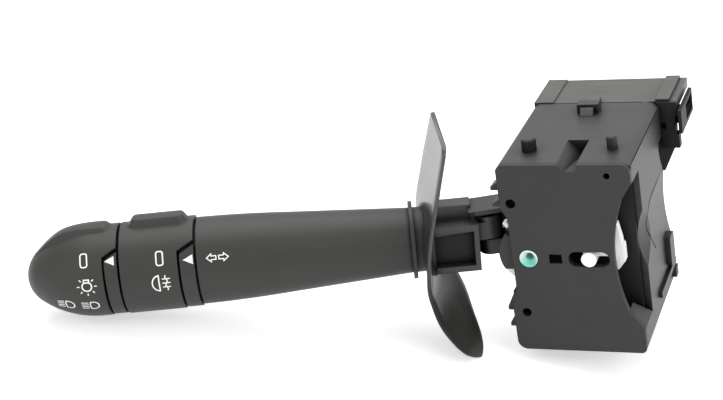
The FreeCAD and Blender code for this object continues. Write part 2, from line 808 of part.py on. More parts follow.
# Cancelling slider: an arm with the round pin and a post for the finger
slider_front = hub_front
slider_back = -8.3
arm_left = 17.45
arm_right = 27.4
arm_low_z = pivot_z - 0.1
arm_high_z = pivot_z + 4.3
slider_pin_x = 20.1
slider_pin_radius = 2.65
slider_pin_stand = 0.4
post_x = 24.4
post_z = pivot_z + 1.9
post_radius = 1.1
finger_front = -7.9
finger_back = -4.6
slider = block(arm_left, arm_right, slider_front, slider_back, arm_low_z, arm_high_z)
slider_pin = rod(slider_pin_radius, (slider_pin_x, front_y - slider_pin_stand, pivot_z), (0, 1, 0),
                 slider_back - front_y + slider_pin_stand)
slider_post = rod(post_radius, (post_x, slider_back - 0.1, post_z), (0, 1, 0),
                  finger_back - slider_back + 0.2)
slider = join([slider, slider_pin, slider_post])
save("cancel_slider", slider)

# Cancelling finger on the post
ear_left = 22.2
ear_half = 2.2
ear_corner = 1.6
finger_left = 26.8
finger_right = 30.7
finger_high = -24.2
finger_low = -41.4
finger_outline = [(finger_left, finger_high), (finger_right - 1.2, finger_high),
                  (finger_right, pivot_z + 4.8), (finger_right, pivot_z - 3.8),
                  (finger_right - 1.8, finger_low), (finger_left, finger_low)]
finger = prism_y(finger_outline, finger_front, finger_back)
ear = round_along(block(ear_left, finger_left + over, finger_front, finger_back, post_z - ear_half,
                        post_z + ear_half), "y",
                  [(ear_left, post_z - ear_half, ear_corner), (ear_left, post_z + ear_half, ear_corner)])
nose_right = 31.4
nose_low = pivot_z - 3.6
nose_high_z = pivot_z + 3.4
nose_corner = 0.8
nose = block(finger_right - over, nose_right, finger_front, finger_back, nose_low, nose_high_z)
nose = round_along(nose, "y", [(nose_right, nose_low, nose_corner), (nose_right, nose_high_z, nose_corner)])
finger = join([finger, ear, nose])
finger = finger.cut(rod(post_radius + run_clear, (post_x, finger_front - over, post_z), (0, 1, 0),
                        finger_back - finger_front + 2 * over))
save("cancel_finger", finger)


# Stalk pieces, drawn along X from the pivot
def along_x(radius, s0, s1):
    return rod(radius, (s0, 0, 0), (1, 0, 0), s1 - s0)


def ring_x(outer, inner, s0, s1):
    return tube(outer, inner, (s0, 0, 0), (1, 0, 0), s1 - s0)


def half_space(s, angle, tilt, shift):
    # all points below the plane that stands on the axis at this angle
    around = math.radians(angle)
    lean = math.radians(tilt)
    outward = V(0, math.cos(around), math.sin(around))
    onward = V(0, -math.sin(around), math.cos(around))
    normal = onward * math.cos(lean) + V(1, 0, 0) * math.sin(lean)
    side = outward.cross(normal)
    reach = 80.0
    solid = Part.makeBox(2 * reach, 2 * reach, reach, V(-reach, -reach, -reach))
    turn = FreeCAD.Rotation(side, outward, normal, "ZXY")
    solid.Placement = FreeCAD.Placement(V(s, 0, 0) + normal * shift, turn)
    return solid


# Lever root with knuckle, window recess and ridge
ridge_sink = 0.5
ridge_corner = 1.2
root_block = block(root_in, root_out, -root_half, root_half, root_bottom, root_top)
root_ridge = block(ridge_in, root_out, ridge_back, ridge_near, root_top - ridge_sink, ridge_top)
root = root_block.fuse(root_ridge)
root = round_along(root, "x", [(ridge_back, ridge_top, ridge_corner), (ridge_near, ridge_top, ridge_corner)])
window_in = 26.3
window_low = -8.6
window_high = 4.7
window_deep = 3.2
recess = block(window_in, root_out + over, root_half - window_deep, root_half + over,
               window_low, window_high)
root = root.cut(recess).cut(recess.mirror(V(0, 0, 0), V(0, 1, 0)))
root = root.cut(along_x(spigot_radius, spigot_in, root_out + over))
root = stalk_place(root)
fork_room = 0.7
knuckle_block_reach = 2.6
below = 30.0
low_relief = carrier_place(rod(arm_low_radius + fork_room, (pull_s, 0, -below), (0, 0, 1),
                               below + fork_low_top + fork_play))
knuckle = rod(knuckle_radius, (pull_s, 0, knuckle_low), (0, 0, 1), knuckle_high - knuckle_low)
knuckle = knuckle.fuse(block(pull_s, root_in + knuckle_block_reach, -knuckle_radius, knuckle_radius,
                             knuckle_low, root_top + ridge_sink))
knuckle = knuckle.fuse(rod(knuckle_collar, (pull_s, 0, knuckle_high), (0, 0, 1),
                           fork_high_bottom - fork_play - knuckle_high))
knuckle = carrier_place(knuckle)
root = root.cut(low_relief).fuse(knuckle)
pin_bore = rod(pull_pin_radius + run_clear, (pull_s, 0, -below), (0, 0, 1), 2 * below)
root = root.cut(carrier_place(pin_bore)).removeSplitter()
save("lever_root", root)

# Sleeve with flange
sleeve = ring_x(sleeve_radius, core_radius, root_out, sleeve_end_s)
flange = ring_x(flange_radius, core_radius, sleeve_end_s - flange_thick, sleeve_end_s)
sleeve = join([sleeve, flange])
save("stalk_sleeve", stalk_place(sleeve))

# Core tube and spindle
core = ring_x(spigot_radius, core_bore, spigot_in, root_out + over)
core = core.fuse(ring_x(core_radius, core_bore, root_out, core_step_s))
core = core.fuse(ring_x(spindle_radius, core_bore, core_step_s - over, spindle_end_s))
save("core_tube", stalk_place(core.removeSplitter()))


# Handle shell
def handle_line(inset):
    return [V(handle_in_s, 0, handle_root_radius - inset), V(handle_mid_s, 0, handle_mid_radius - inset),
            V(handle_late_s, 0, handle_late_radius - inset), V(handle_out_s, 0, handle_tip_radius - inset)]


def spin(edges):
    face = Part.Face(Part.Wire(edges))
    return face.revolve(V(0, 0, 0), V(1, 0, 0), 360)


skin = handle_line(0.0)
lining = handle_line(handle_wall)
handle = spin([Part.makeLine(skin[0], skin[1]), Part.Arc(skin[1], skin[2], skin[3]).toShape(),
               Part.makeLine(skin[3], lining[3]), Part.makeLine(lining[3], lining[1]),
               Part.makeLine(lining[1], lining[0]), Part.makeLine(lining[0], skin[0])])
root_wall_thick = 3.0
root_wall = ring_x(handle_root_radius - over, core_radius, handle_in_s, handle_in_s + root_wall_thick)
handle = handle.fuse(root_wall)
rib_half = 0.8
rib_in = handle_in_s + over
rib_out = handle_in_s + 40.0
rib_foot = core_radius - 0.5
rib_points = [(rib_in, rib_foot), (rib_out, rib_foot), (rib_out, handle_mid_radius - 0.7 * handle_wall),
              (rib_in, handle_root_radius - 0.5 * handle_wall)]
for rib_angle in (45, 135, 225, 315):
    rib = prism_y(rib_points, -rib_half, rib_half).cut(along_x(core_radius, 0, handle_out_s))
    rib.rotate(V(0, 0, 0), V(1, 0, 0), rib_angle)
    handle = handle.fuse(rib)
handle = handle.removeSplitter()
save("stalk_handle", stalk_place(handle))

# Pointer rings: fixed bands between the turning rings
band_radius = 14.0
band_inner = 12.0
band_sink = 0.4
seat_ring_radius = band_inner + 0.5
plug_length = 4.0
plug_clear = 0.15
handle_plug_radius = handle_tip_radius - handle_wall - plug_clear


def pointer_band(s0, s1):
    middle = 0.5 * (s0 + s1)
    half_long = 0.5 * (s1 - s0) + 4 * over
    strip = ring_x(strip_radius, band_radius - band_sink, s0, s1)
    strip = strip.common(half_space(middle, pointer_angle, pointer_tilt, 0))
    wide = 2 * ring_radius
    far_side = block(middle - half_long, middle + half_long, -wide, 0, -wide, wide)
    return strip.cut(half_space(middle, strip_low_angle, 0, 0).common(far_side))


inner_seat_long = 2.0
inner_ring = ring_x(band_radius, band_inner, handle_out_s, inner_strip_out)
inner_ring = inner_ring.fuse(ring_x(handle_plug_radius, band_inner, handle_out_s - plug_length,
                                    handle_out_s + over))
inner_ring = inner_ring.fuse(ring_x(seat_ring_radius, spindle_radius, inner_strip_in,
                                    inner_strip_in + inner_seat_long))
inner_ring = join([inner_ring, pointer_band(inner_strip_in, inner_strip_out)])
save("inner_pointer_ring", stalk_place(inner_ring))

outer_seat_in = outer_strip_in + 0.6
outer_seat_long = 1.8
outer_ring = ring_x(band_radius, band_inner, outer_strip_in, outer_strip_out)
outer_ring = outer_ring.fuse(ring_x(seat_ring_radius, spindle_radius, outer_seat_in,
                                    outer_seat_in + outer_seat_long))
outer_ring = join([outer_ring, pointer_band(outer_strip_in, outer_strip_out)])
save("outer_pointer_ring", stalk_place(outer_ring))

# Contact boards inside the head
head_board_radius = 11.6
head_board_thick = 1.0
fog_board_in = inner_strip_in + inner_seat_long
light_board_in = outer_seat_in + outer_seat_long
fog_board = ring_x(head_board_radius, spindle_radius, fog_board_in, fog_board_in + head_board_thick)
save("fog_contact_board", stalk_place(fog_board))
light_board = ring_x(head_board_radius, spindle_radius, light_board_in, light_board_in + head_board_thick)
save("light_contact_board", stalk_place(light_board))


def skirt(s0, s1, inner):
    middle = 0.5 * (s0 + s1)
    part = ring_x(ring_radius - 0.1, inner, s0, s1)
    part = part.cut(half_space(middle, pointer_angle, pointer_tilt, pointer_gap))
    keep = half_space(middle, skirt_high_angle, 0, 0)
    return part.common(keep)


# Fog lamp ring
skirt_inner = band_radius + move_clear
head_hub_radius = 8.6
fog_hub_in = fog_in - 0.6
knob_hub_in = knob_in + 0.5
hub_bore = spindle_radius + run_clear
web_thick = 2.0
fog_web_in = fog_in + 3.0
fog_hub_out = fog_in + 16.0
shell_inner = ring_radius - ring_wall
fog = ring_x(ring_radius, shell_inner, fog_in, fog_out)
fog = fog.fuse(skirt(handle_out_s + ring_gap, fog_in + 0.5, skirt_inner))
fog = fog.fuse(ring_x(shell_inner + 0.3, hub_bore, fog_web_in, fog_web_in + web_thick))
fog = fog.fuse(ring_x(head_hub_radius, hub_bore, fog_hub_in, fog_hub_out))
ridge_half = 4.7
ridge_end = 3.6
ridge_foot = shell_inner + 0.8
ridge_turn = 4.0
ridge_chamfer = 1.2
fog_ridge_top = ring_radius + 2.9
fog_ridge_in = handle_out_s + 2.3
fog_ridge_out = fog_out - 2.5
ridge_ends = [(s, y, ridge_end) for s in (fog_ridge_in, fog_ridge_out) for y in (-ridge_half, ridge_half)]
fog_ridge = block(fog_ridge_in, fog_ridge_out, -ridge_half, ridge_half, ridge_foot, fog_ridge_top)
fog_ridge = round_along(fog_ridge, "z", ridge_ends)
top_edges = [e for e in fog_ridge.Edges if e.BoundBox.ZMin > fog_ridge_top - 0.01]
fog_ridge = fog_ridge.makeChamfer(ridge_chamfer, top_edges)
fog_ridge.rotate(V(0, 0, 0), V(1, 0, 0), ridge_turn)
fog = join([fog, fog_ridge])
save("fog_ring", stalk_place(fog))

dot_ring = 9.0
dot_foot = 1.0
dot_head = 0.5
dot_stand = 0.9
leaf_radius = 10.8
head_leaf_thick = 0.4


def copper_wiper(s):
    leaf = ring_x(leaf_radius, spindle_radius + dot_stand, s - head_leaf_thick, s)
    for dot_angle in (30, 150, 270):
        around = math.radians(dot_angle)
        spot = V(s - head_leaf_thick, dot_ring * math.cos(around), dot_ring * math.sin(around))
        leaf = leaf.fuse(Part.makeCone(dot_foot, dot_head, dot_stand, spot, V(-1, 0, 0)))
    return leaf.removeSplitter()


save("fog_wiper", stalk_place(copper_wiper(fog_hub_in)))


# Light knob with domed end: a wide arc for the side, tangent to a small one for the nose
def dome_line(radius, length, s_flat, side_steps, nose_steps):
    nose = dome_nose * radius / ring_radius
    side = (length ** 2 + radius ** 2 - 2 * length * nose) / (2 * (radius - nose))
    turn = math.atan2(side - radius, length - nose)
    nose_s = s_flat + length - nose
    line = []
    for step in range(side_steps):
        angle = math.pi / 2 + (turn - math.pi / 2) * step / side_steps
        line.append(V(s_flat + side * math.cos(angle), 0, radius - side + side * math.sin(angle)))
    for step in range(nose_steps + 1):
        angle = turn * (1 - step / nose_steps)
        line.append(V(nose_s + nose * math.cos(angle), 0, nose * math.sin(angle)))
    return line


def dome(radius, length, s_start, s_flat, side_steps, nose_steps):
    line = dome_line(radius, length, s_flat, side_steps, nose_steps)
    line = [V(s_start, 0, 0), V(s_start, 0, radius)] + line
    edges = []
    for here, there in zip(line, line[1:] + line[:1]):
        edges.append(Part.makeLine(here, there))
    return spin(edges)


clip_in = spindle_end_s - 2.2
clip_thick = 1.0
clip_out = clip_in + clip_thick
dome_start = knob_tip - dome_length
side_steps = 4
nose_steps = 3
knob_web_in = knob_in + 3.1
knob = dome(ring_radius - 0.05, dome_length, knob_in, dome_start, side_steps, nose_steps)
ridge_lift = 1.5
ridge_blend = 2.4
knob_ridge_in = fog_out + 3.2
knob_ridge_out = knob_tip - 11.0
knob_ridge_flat = dome_start + 1.5
knob_ridge_top = ring_radius + ridge_lift
knob_ridge_end_radius = ring_radius - 1.6
rise_mid = V(knob_ridge_in + 0.3 * ridge_blend, 0, knob_ridge_top - 0.35 * ridge_blend)
fall_run = knob_ridge_out - knob_ridge_flat
fall_drop = knob_ridge_top - knob_ridge_end_radius
fall_mid = V(knob_ridge_flat + 0.58 * fall_run, 0, knob_ridge_top - 0.3 * fall_drop)
ridge_corners = [V(knob_ridge_in, 0, ridge_foot), V(knob_ridge_in, 0, knob_ridge_top - ridge_blend),
                 V(knob_ridge_in + ridge_blend, 0, knob_ridge_top), V(knob_ridge_flat, 0, knob_ridge_top),
                 V(knob_ridge_out, 0, knob_ridge_end_radius), V(knob_ridge_out, 0, shell_inner - 2.0),
                 V(dome_start, 0, ridge_foot)]
ridge_edges = [Part.makeLine(ridge_corners[0], ridge_corners[1]),
               Part.Arc(ridge_corners[1], rise_mid, ridge_corners[2]).toShape(),
               Part.makeLine(ridge_corners[2], ridge_corners[3]),
               Part.Arc(ridge_corners[3], fall_mid, ridge_corners[4]).toShape(),
               Part.makeLine(ridge_corners[4], ridge_corners[5]),
               Part.makeLine(ridge_corners[5], ridge_corners[6]),
               Part.makeLine(ridge_corners[6], ridge_corners[0])]
knob_ridge = Part.Face(Part.Wire(ridge_edges)).extrude(V(0, 2 * ridge_half, 0))
knob_ridge.translate(V(0, -ridge_half, 0))
knob_ridge.rotate(V(0, 0, 0), V(1, 0, 0), ridge_turn)
knob = knob.fuse(skirt(fog_out + ring_gap, knob_in + 0.5, skirt_inner)).fuse(knob_ridge)
hollow = dome(shell_inner, dome_length - ring_wall, knob_in - 0.01, dome_start, side_steps, nose_steps)
knob = knob.cut(hollow).cut(along_x(skirt_inner, fog_out, knob_in + over))
knob = knob.fuse(ring_x(shell_inner + 0.3, hub_bore, knob_web_in, knob_web_in + web_thick))
knob = join([knob, ring_x(head_hub_radius, hub_bore, knob_hub_in, clip_in - move_clear)])
save("light_knob", stalk_place(knob))
save("light_wiper", stalk_place(copper_wiper(knob_hub_in)))

# Clip that holds the knob on the spindle
clip_radius = 8.0
clip_slot_half = 1.6
clip_slot_high = -4.0
clip = ring_x(clip_radius, spindle_radius, clip_in, clip_out)
clip = clip.cut(block(clip_in - over, clip_out + over, -clip_slot_half, clip_slot_half,
                      -clip_radius - over, clip_slot_high))
save("spindle_clip", stalk_place(clip))

# Dust shield: a twisted blade around the sleeve
shield_thick = 1.6
shield_steps = 3
flange_lead = sleeve_end_s + 4 * over


def shield_section(height, near_s, far_s, near_y, far_y):
    near_point = V(near_s, near_y, height)
    far_point = V(far_s, far_y, height)
    across = far_point - near_point
    across.normalize()
    offset = V(-across.y, across.x, 0) * shield_thick
    if offset.x < 0:
        offset = offset * -1.0
    corners = [near_point, far_point, far_point + offset, near_point + offset]
    return Part.makePolygon(corners + [corners[0]])


# height, near edge and far edge along the lever, near edge and far edge to the driver
shield_stations = [(43.2, 31.1, 33.9, 19.0, -12.5), (27.0, 35.7, 39.2, 19.5, -13.0),
                   (10.0, 40.8, 43.5, 22.0, -13.0), (-4.0, 43.6, 40.0, 25.8, -12.0),
                   (-12.0, 43.2, 35.0, 26.5, -9.0), (-20.0, 41.3, 31.5, 27.2, -4.0),
                   (-27.0, 37.7, 29.8, 27.8, 3.0), (-32.0, 34.6, 28.4, 26.5, 11.0),
                   (-35.5, 32.2, 28.3, 23.2, 15.2), (-37.8, 30.2, 29.2, 19.8, 17.9)]
shield_tip = (45.6, 33.0, 33.1, -10.5, -12.2)


def between_stations(place):
    # smooth curve through the stations
    here = min(int(place), len(shield_stations) - 2)
    part = place - here
    before = shield_stations[max(here - 1, 0)]
    after = shield_stations[min(here + 2, len(shield_stations) - 1)]
    values = []
    for a, b, c, d in zip(before, shield_stations[here], shield_stations[here + 1], after):
        values.append(0.5 * (2 * b + (c - a) * part + (2 * a - 5 * b + 4 * c - d) * part ** 2
                             + (3 * b - a - 3 * c + d) * part ** 3))
    return values


sections = [shield_section(*shield_tip)]
for step in range((len(shield_stations) - 1) * shield_steps + 1):
    sections.append(shield_section(*between_stations(step / shield_steps)))
blade = Part.makeLoft(sections, True, True)
shield = carrier_place(blade)
shield = shield.cut(stalk_place(along_x(sleeve_radius + seat_clear, spigot_in, flange_lead)))
shield = shield.cut(stalk_place(root_block)).cut(stalk_place(root_ridge))
save("dust_shield", shield)
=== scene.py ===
import bpy
import math
from mathutils import Matrix, Vector
from mathutils.bvhtree import BVHTree


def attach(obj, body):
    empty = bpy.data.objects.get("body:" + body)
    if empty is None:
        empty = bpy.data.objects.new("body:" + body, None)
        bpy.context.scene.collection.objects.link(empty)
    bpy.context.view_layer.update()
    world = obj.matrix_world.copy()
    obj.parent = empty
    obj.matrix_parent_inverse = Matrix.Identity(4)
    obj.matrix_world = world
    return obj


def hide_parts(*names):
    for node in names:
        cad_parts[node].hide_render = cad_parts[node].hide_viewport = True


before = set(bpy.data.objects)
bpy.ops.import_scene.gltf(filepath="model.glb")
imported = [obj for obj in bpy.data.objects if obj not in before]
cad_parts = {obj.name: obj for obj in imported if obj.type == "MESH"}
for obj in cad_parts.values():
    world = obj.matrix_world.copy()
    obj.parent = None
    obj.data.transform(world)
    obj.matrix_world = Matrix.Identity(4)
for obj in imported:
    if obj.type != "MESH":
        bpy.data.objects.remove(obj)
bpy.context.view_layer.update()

mm = 0.001
print("frame loaded with", len(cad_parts), "nodes")


def addObject(name, data):
    piece = bpy.data.objects.new(name, data)
    bpy.context.scene.collection.objects.link(piece)
    return piece


# camera, fitted to the photograph's 723 x 400 frame
camera = {"place": (148.14, -475.33, 209.13), "right": (0.92689, 0.33986, -0.15929),
          "up": (-0.00334, 0.43184, 0.90194), "look": (-0.37533, 0.83547, -0.40140),
          "lens": 77.95, "sensor": 36.0, "reach": 20.0}


def addCamera():
    data = bpy.data.cameras.new("viewCamera")
    data.lens = camera["lens"]
    data.sensor_width = camera["sensor"]
    data.clip_end = camera["reach"]
    piece = addObject("viewCamera", data)
    back = [-v for v in camera["look"]]
    turn = Matrix((camera["right"], camera["up"], back)).transposed().to_4x4()
    piece.matrix_world = Matrix.Translation(Vector(camera["place"]) * mm) @ turn
    bpy.context.scene.camera = piece


addCamera()
print("camera placed")

# moulded plastics: base tone, roughness, gloss, grain size and depth, clouding, drawn streaks and
# their spread, reach of the painted shade in corners in mm and edge rounding in mm
plastics = {
    "housingPlastic": {"tone": (0.021, 0.021, 0.0198), "rough": 0.47, "gloss": 0.42, "grain": 1500,
                       "depth": 0.16, "cloud": 0.26, "streak": 0.6, "spread": 0.09, "shade": 5.0},
    "rearPlastic": {"tone": (0.048, 0.048, 0.0448), "rough": 0.42, "gloss": 0.55, "grain": 1500,
                    "depth": 0.16, "cloud": 0.26, "streak": 0.6, "spread": 0.09, "shade": 4.0},
    "platePlastic": {"tone": (0.0155, 0.0155, 0.0148), "rough": 0.56, "gloss": 0.4, "grain": 1700,
                     "depth": 0.2, "cloud": 0.16, "streak": 0.4, "spread": 0.13, "shade": 3.0},
    "leverPlastic": {"tone": (0.0115, 0.0115, 0.0112), "rough": 0.42, "gloss": 0.46, "grain": 1500,
                     "depth": 0.1, "cloud": 0.14, "shade": 7.0, "edge": 0.5},
    "rootPlastic": {"tone": (0.034, 0.034, 0.0325), "rough": 0.42, "gloss": 0.46, "grain": 1500,
                    "depth": 0.1, "cloud": 0.14, "shade": 2.6, "edge": 0.5},
    # painted shade: a darker copy of the casing plastic for parts and webs that sit in shade
    "paintedShadePlastic": {"tone": (0.008, 0.008, 0.0078), "rough": 0.55, "gloss": 0.24, "grain": 1500,
                      "depth": 0.1, "cloud": 0.2, "shade": 4.0},
    # painted shade and dark seams: near-black for the seam hairlines and for the sheets that stand
    # in for shade in holes, the loop's window and under the bracket
    "seamAndShadeBlack": {"tone": (0.0022, 0.0022, 0.0022), "rough": 0.85, "gloss": 0.04, "grain": 1500,
                  "depth": 0.05, "cloud": 0.2},
    "gripPlastic": {"tone": (0.0178, 0.0178, 0.0163), "rough": 0.5, "gloss": 0.42, "grain": 1300,
                    "depth": 0.14, "cloud": 0.1, "shade": 1.6},
    "shieldPlastic": {"tone": (0.028, 0.028, 0.0258), "rough": 0.26, "gloss": 0.62, "grain": 1200,
                      "depth": 0.02, "cloud": 0.1, "edge": 0.03},
    "whiteAcetal": {"tone": (0.95, 0.965, 0.94), "rough": 0.3, "grain": 900, "depth": 0.04,
                    "cloud": 0.03},
    "mintAcetal": {"tone": (0.80, 0.84, 0.82), "rough": 0.3, "grain": 900, "depth": 0.03,
                   "cloud": 0.02},
    "boardBrown": {"tone": (0.10, 0.055, 0.028), "rough": 0.5, "grain": 600, "depth": 0.1,
                   "cloud": 0.2},
    "markPaint": {"tone": (0.84, 0.85, 0.83), "rough": 0.5, "grain": 2500, "depth": 0.05,
                  "cloud": 0.04},
}
metals = {
    "contactCopper": {"tone": (0.62, 0.34, 0.18), "rough": 0.32, "grain": 500, "depth": 0.08,
                      "cloud": 0.08},
    "pinSteel": {"tone": (0.55, 0.55, 0.54), "rough": 0.28, "grain": 700, "depth": 0.08,
                 "cloud": 0.08},
}
# what all finishes share; gloss, spread and edge hold where a finish doesn't give its own
texture = {"cloudScale": 70.0, "cloudDetail": 5.0, "streakFine": 1100.0, "streakLong": 30.0,
           "streakDetail": 4.0, "gloss": 0.5, "spread": 0.18, "roughSwing": 0.07,
           "grainDetail": 3.0, "grainHeight": 0.2, "edge": 0.22, "edgeSamples": 4,
           "cornerSamples": 6}


def addNode(nodes, kind, values):
    node = nodes.new(kind)
    for socket, value in values.items():
        node.inputs[socket].default_value = value
    return node


def addMath(nodes, operation):
    node = nodes.new("ShaderNodeMath")
    node.operation = operation
    return node


def addStreaks(nodes, links, place):
    # fine lines drawn across the top and front, and along the sides
    fine, long = texture["streakFine"], texture["streakLong"]
    drawn = []
    for scale in ((long, fine, fine), (fine, long, fine)):
        stretch = addNode(nodes, "ShaderNodeMapping", {"Scale": scale})
        links.new(place.outputs["Object"], stretch.inputs["Vector"])
        lines = addNode(nodes, "ShaderNodeTexNoise",
                        {"Scale": 1.0, "Detail": texture["streakDetail"]})
        links.new(stretch.outputs["Vector"], lines.inputs["Vector"])
        drawn.append(lines.outputs["Fac"])
    facing = nodes.new("ShaderNodeNewGeometry")
    split = nodes.new("ShaderNodeSeparateXYZ")
    links.new(facing.outputs["Normal"], split.inputs["Vector"])
    side = addMath(nodes, "ABSOLUTE")
    links.new(split.outputs["X"], side.inputs[0])
    both = nodes.new("ShaderNodeMix")
    links.new(side.outputs["Value"], both.inputs["Factor"])
    links.new(drawn[0], both.inputs["A"])
    links.new(drawn[1], both.inputs["B"])
    return both.outputs["Result"]


def addPlastic(name, look):
    made = bpy.data.materials.new(name)
    made.use_nodes = True
    nodes, links = made.node_tree.nodes, made.node_tree.links
    shader = nodes["Principled BSDF"]
    place = nodes.new("ShaderNodeTexCoord")
    # slow clouding of the tone, as moulded plastic has
    cloud = addNode(nodes, "ShaderNodeTexNoise",
                    {"Scale": texture["cloudScale"], "Detail": texture["cloudDetail"]})
    links.new(place.outputs["Object"], cloud.inputs["Vector"])
    drawn = cloud.outputs["Fac"]
    if "streak" in look:
        blend = addNode(nodes, "ShaderNodeMix", {"Factor": look["streak"]})
        links.new(drawn, blend.inputs["A"])
        links.new(addStreaks(nodes, links, place), blend.inputs["B"])
        drawn = blend.outputs["Result"]
    ramp = nodes.new("ShaderNodeValToRGB")
    spread = look.get("spread", texture["spread"])
    for stop, side in zip(ramp.color_ramp.elements, (-1.0, 1.0)):
        stop.position = 0.5 + side * spread
        stop.color = [c * (1.0 + side * look["cloud"]) for c in look["tone"]] + [1.0]
    links.new(drawn, ramp.inputs["Fac"])
    tone, gloss = ramp.outputs["Color"], look.get("gloss", texture["gloss"])
    shader.inputs["Specular IOR Level"].default_value = gloss
    if "shade" in look:
        # painted shade: ambient occlusion paints corners and deep places darker and duller
        corner = addNode(nodes, "ShaderNodeAmbientOcclusion", {"Distance": look["shade"] * mm})
        corner.samples = texture["cornerSamples"]
        links.new(tone, corner.inputs["Color"])
        tone = corner.outputs["Color"]
        level = addMath(nodes, "MULTIPLY")
        level.inputs[1].default_value = gloss
        links.new(corner.outputs["AO"], level.inputs[0])
        links.new(level.outputs["Value"], shader.inputs["Specular IOR Level"])
    links.new(tone, shader.inputs["Base Color"])
    swing = addNode(nodes, "ShaderNodeMapRange", {"To Min": look["rough"] - texture["roughSwing"],
                                                  "To Max": look["rough"] + texture["roughSwing"]})
    links.new(drawn, swing.inputs["Value"])
    links.new(swing.outputs["Result"], shader.inputs["Roughness"])
    # fine grain of the mould over softly rounded edges
    grain = addNode(nodes, "ShaderNodeTexNoise",
                    {"Scale": look["grain"], "Detail": texture["grainDetail"]})
    links.new(place.outputs["Object"], grain.inputs["Vector"])
    bump = addNode(nodes, "ShaderNodeBump",
                   {"Strength": look["depth"], "Distance": texture["grainHeight"] * mm})
    links.new(grain.outputs["Fac"], bump.inputs["Height"])
    edge = addNode(nodes, "ShaderNodeBevel", {"Radius": look.get("edge", texture["edge"]) * mm})
    edge.samples = texture["edgeSamples"]
    links.new(edge.outputs["Normal"], bump.inputs["Normal"])
    links.new(bump.outputs["Normal"], shader.inputs["Normal"])
    return made


skins = {name: addPlastic(name, look) for name, look in (*plastics.items(), *metals.items())}
for metalName in metals:
    skins[metalName].node_tree.nodes["Principled BSDF"].inputs["Metallic"].default_value = 1.0


def heightFade(skinName, start, end):
    # runs from 0 at the height start to 1 at the height end, both in mm
    nodes, links = skins[skinName].node_tree.nodes, skins[skinName].node_tree.links
    place = nodes.new("ShaderNodeTexCoord")
    split = nodes.new("ShaderNodeSeparateXYZ")
    links.new(place.outputs["Object"], split.inputs["Vector"])
    fade = addNode(nodes, "ShaderNodeMapRange", {"From Min": start * mm, "From Max": end * mm})
    links.new(split.outputs["Z"], fade.inputs["Value"])
    return nodes, links, fade


# the pivot pin is white above and mint green below, deeper in its bore
pinTint = {"high": -33.6, "low": -37.2, "green": (0.16, 0.62, 0.50)}


def tintPin():
    nodes, links, fade = heightFade("mintAcetal", pinTint["high"], pinTint["low"])
    base = nodes["Principled BSDF"].inputs["Base Color"]
    mixed = addNode(nodes, "ShaderNodeMixRGB", {"Color2": (*pinTint["green"], 1.0)})
    links.new(fade.outputs["Result"], mixed.inputs["Fac"])
    links.new(base.links[0].from_socket, mixed.inputs["Color1"])
    links.new(mixed.outputs["Color"], base)


# painted shade: the blade's gloss fades with height, glossy above and dull on its lower tongue, to
# darken the tongue where shade falls
shieldFade = {"low": -46.0, "high": -28.0, "dull": 0.08}


def fadeShield():
    nodes, links, fade = heightFade("shieldPlastic", shieldFade["low"], shieldFade["high"])
    fade.inputs["To Min"].default_value = shieldFade["dull"]
    fade.inputs["To Max"].default_value = plastics["shieldPlastic"]["gloss"]
    links.new(fade.outputs["Result"], nodes["Principled BSDF"].inputs["Specular IOR Level"])


tintPin()
fadeShield()

nodeSkins = {
    "housingPlastic": ["main_casing"],
    "rearPlastic": ["rear_casing"],
    # painted shade: bracket, guide and loop take the darker copy that stands in for the shade on
    # them
    "paintedShadePlastic": ["side_bracket", "cancel_guide", "latch_loop"],
    "platePlastic": ["front_plate"],
    "leverPlastic": ["lever_carrier", "core_tube"],
    "rootPlastic": ["lever_root"],
    "gripPlastic": ["stalk_handle", "stalk_sleeve", "inner_pointer_ring", "outer_pointer_ring",
                    "fog_ring", "light_knob"],
    "shieldPlastic": ["dust_shield"],
    "whiteAcetal": ["signal_rotor", "cancel_slider", "cancel_finger", "detent_plunger",
                    "detent_track"],
    "mintAcetal": ["pivot_pin"],
    "boardBrown": ["contact_board", "fog_contact_board", "light_contact_board"],
    "contactCopper": ["signal_wiper", "fog_wiper", "light_wiper", "terminal_blades"],
    "pinSteel": ["pull_pin", "detent_spring", "spindle_clip"],
}
for skinName, nodeNames in nodeSkins.items():
    for nodeName in nodeNames:
        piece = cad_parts[nodeName]
        piece.data.materials.clear()
        piece.data.materials.append(skins[skinName])
print("materials made")

# frame of the stalk: s runs out along the stalk, turn is the angle round it with 0 to the driver
lever = {"pivot": (-1.1, 11.6, -35.2), "lean": 21.3, "rise": 3.6}
leverFrame = (Matrix.Translation(Vector(lever["pivot"]) * mm)
              @ Matrix.Rotation(math.radians(180.0 + lever["lean"]), 4, "Z"))
stalkFrame = leverFrame @ Matrix.Rotation(math.radians(-lever["rise"]), 4, "Y")


def onStalk(s, turn, radius):
    around = math.radians(turn)
    return stalkFrame @ (Vector((s, radius * math.cos(around), radius * math.sin(around))) * mm)


def easeStep(value, start, end):
    part = min(max((value - start) / (end - start), 0.0), 1.0)
    return part * part * (3.0 - 2.0 * part)


def addMesh(name, points, faces, body, skin, replaced=(), smoothAngle=40.0):
    data = bpy.data.meshes.new(name)
    data.from_pydata([tuple(p) for p in points], [], faces)
    data.update()
    data.shade_smooth()
    data.set_sharp_from_angle(angle=math.radians(smoothAngle))
    data.materials.append(skins[skin])
    piece = addObject(name, data)
    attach(piece, body)
    if replaced:
        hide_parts(*replaced)


# grip of the stalk: radii along the axis in mm
grip = {"rootS": 48.6, "rootRadius": 11.7, "midS": 93.145, "midRadius": 14.5, "lateS": 109.755,
        "lateRadius": 15.4, "endS": 124.1, "endRadius": 15.7}


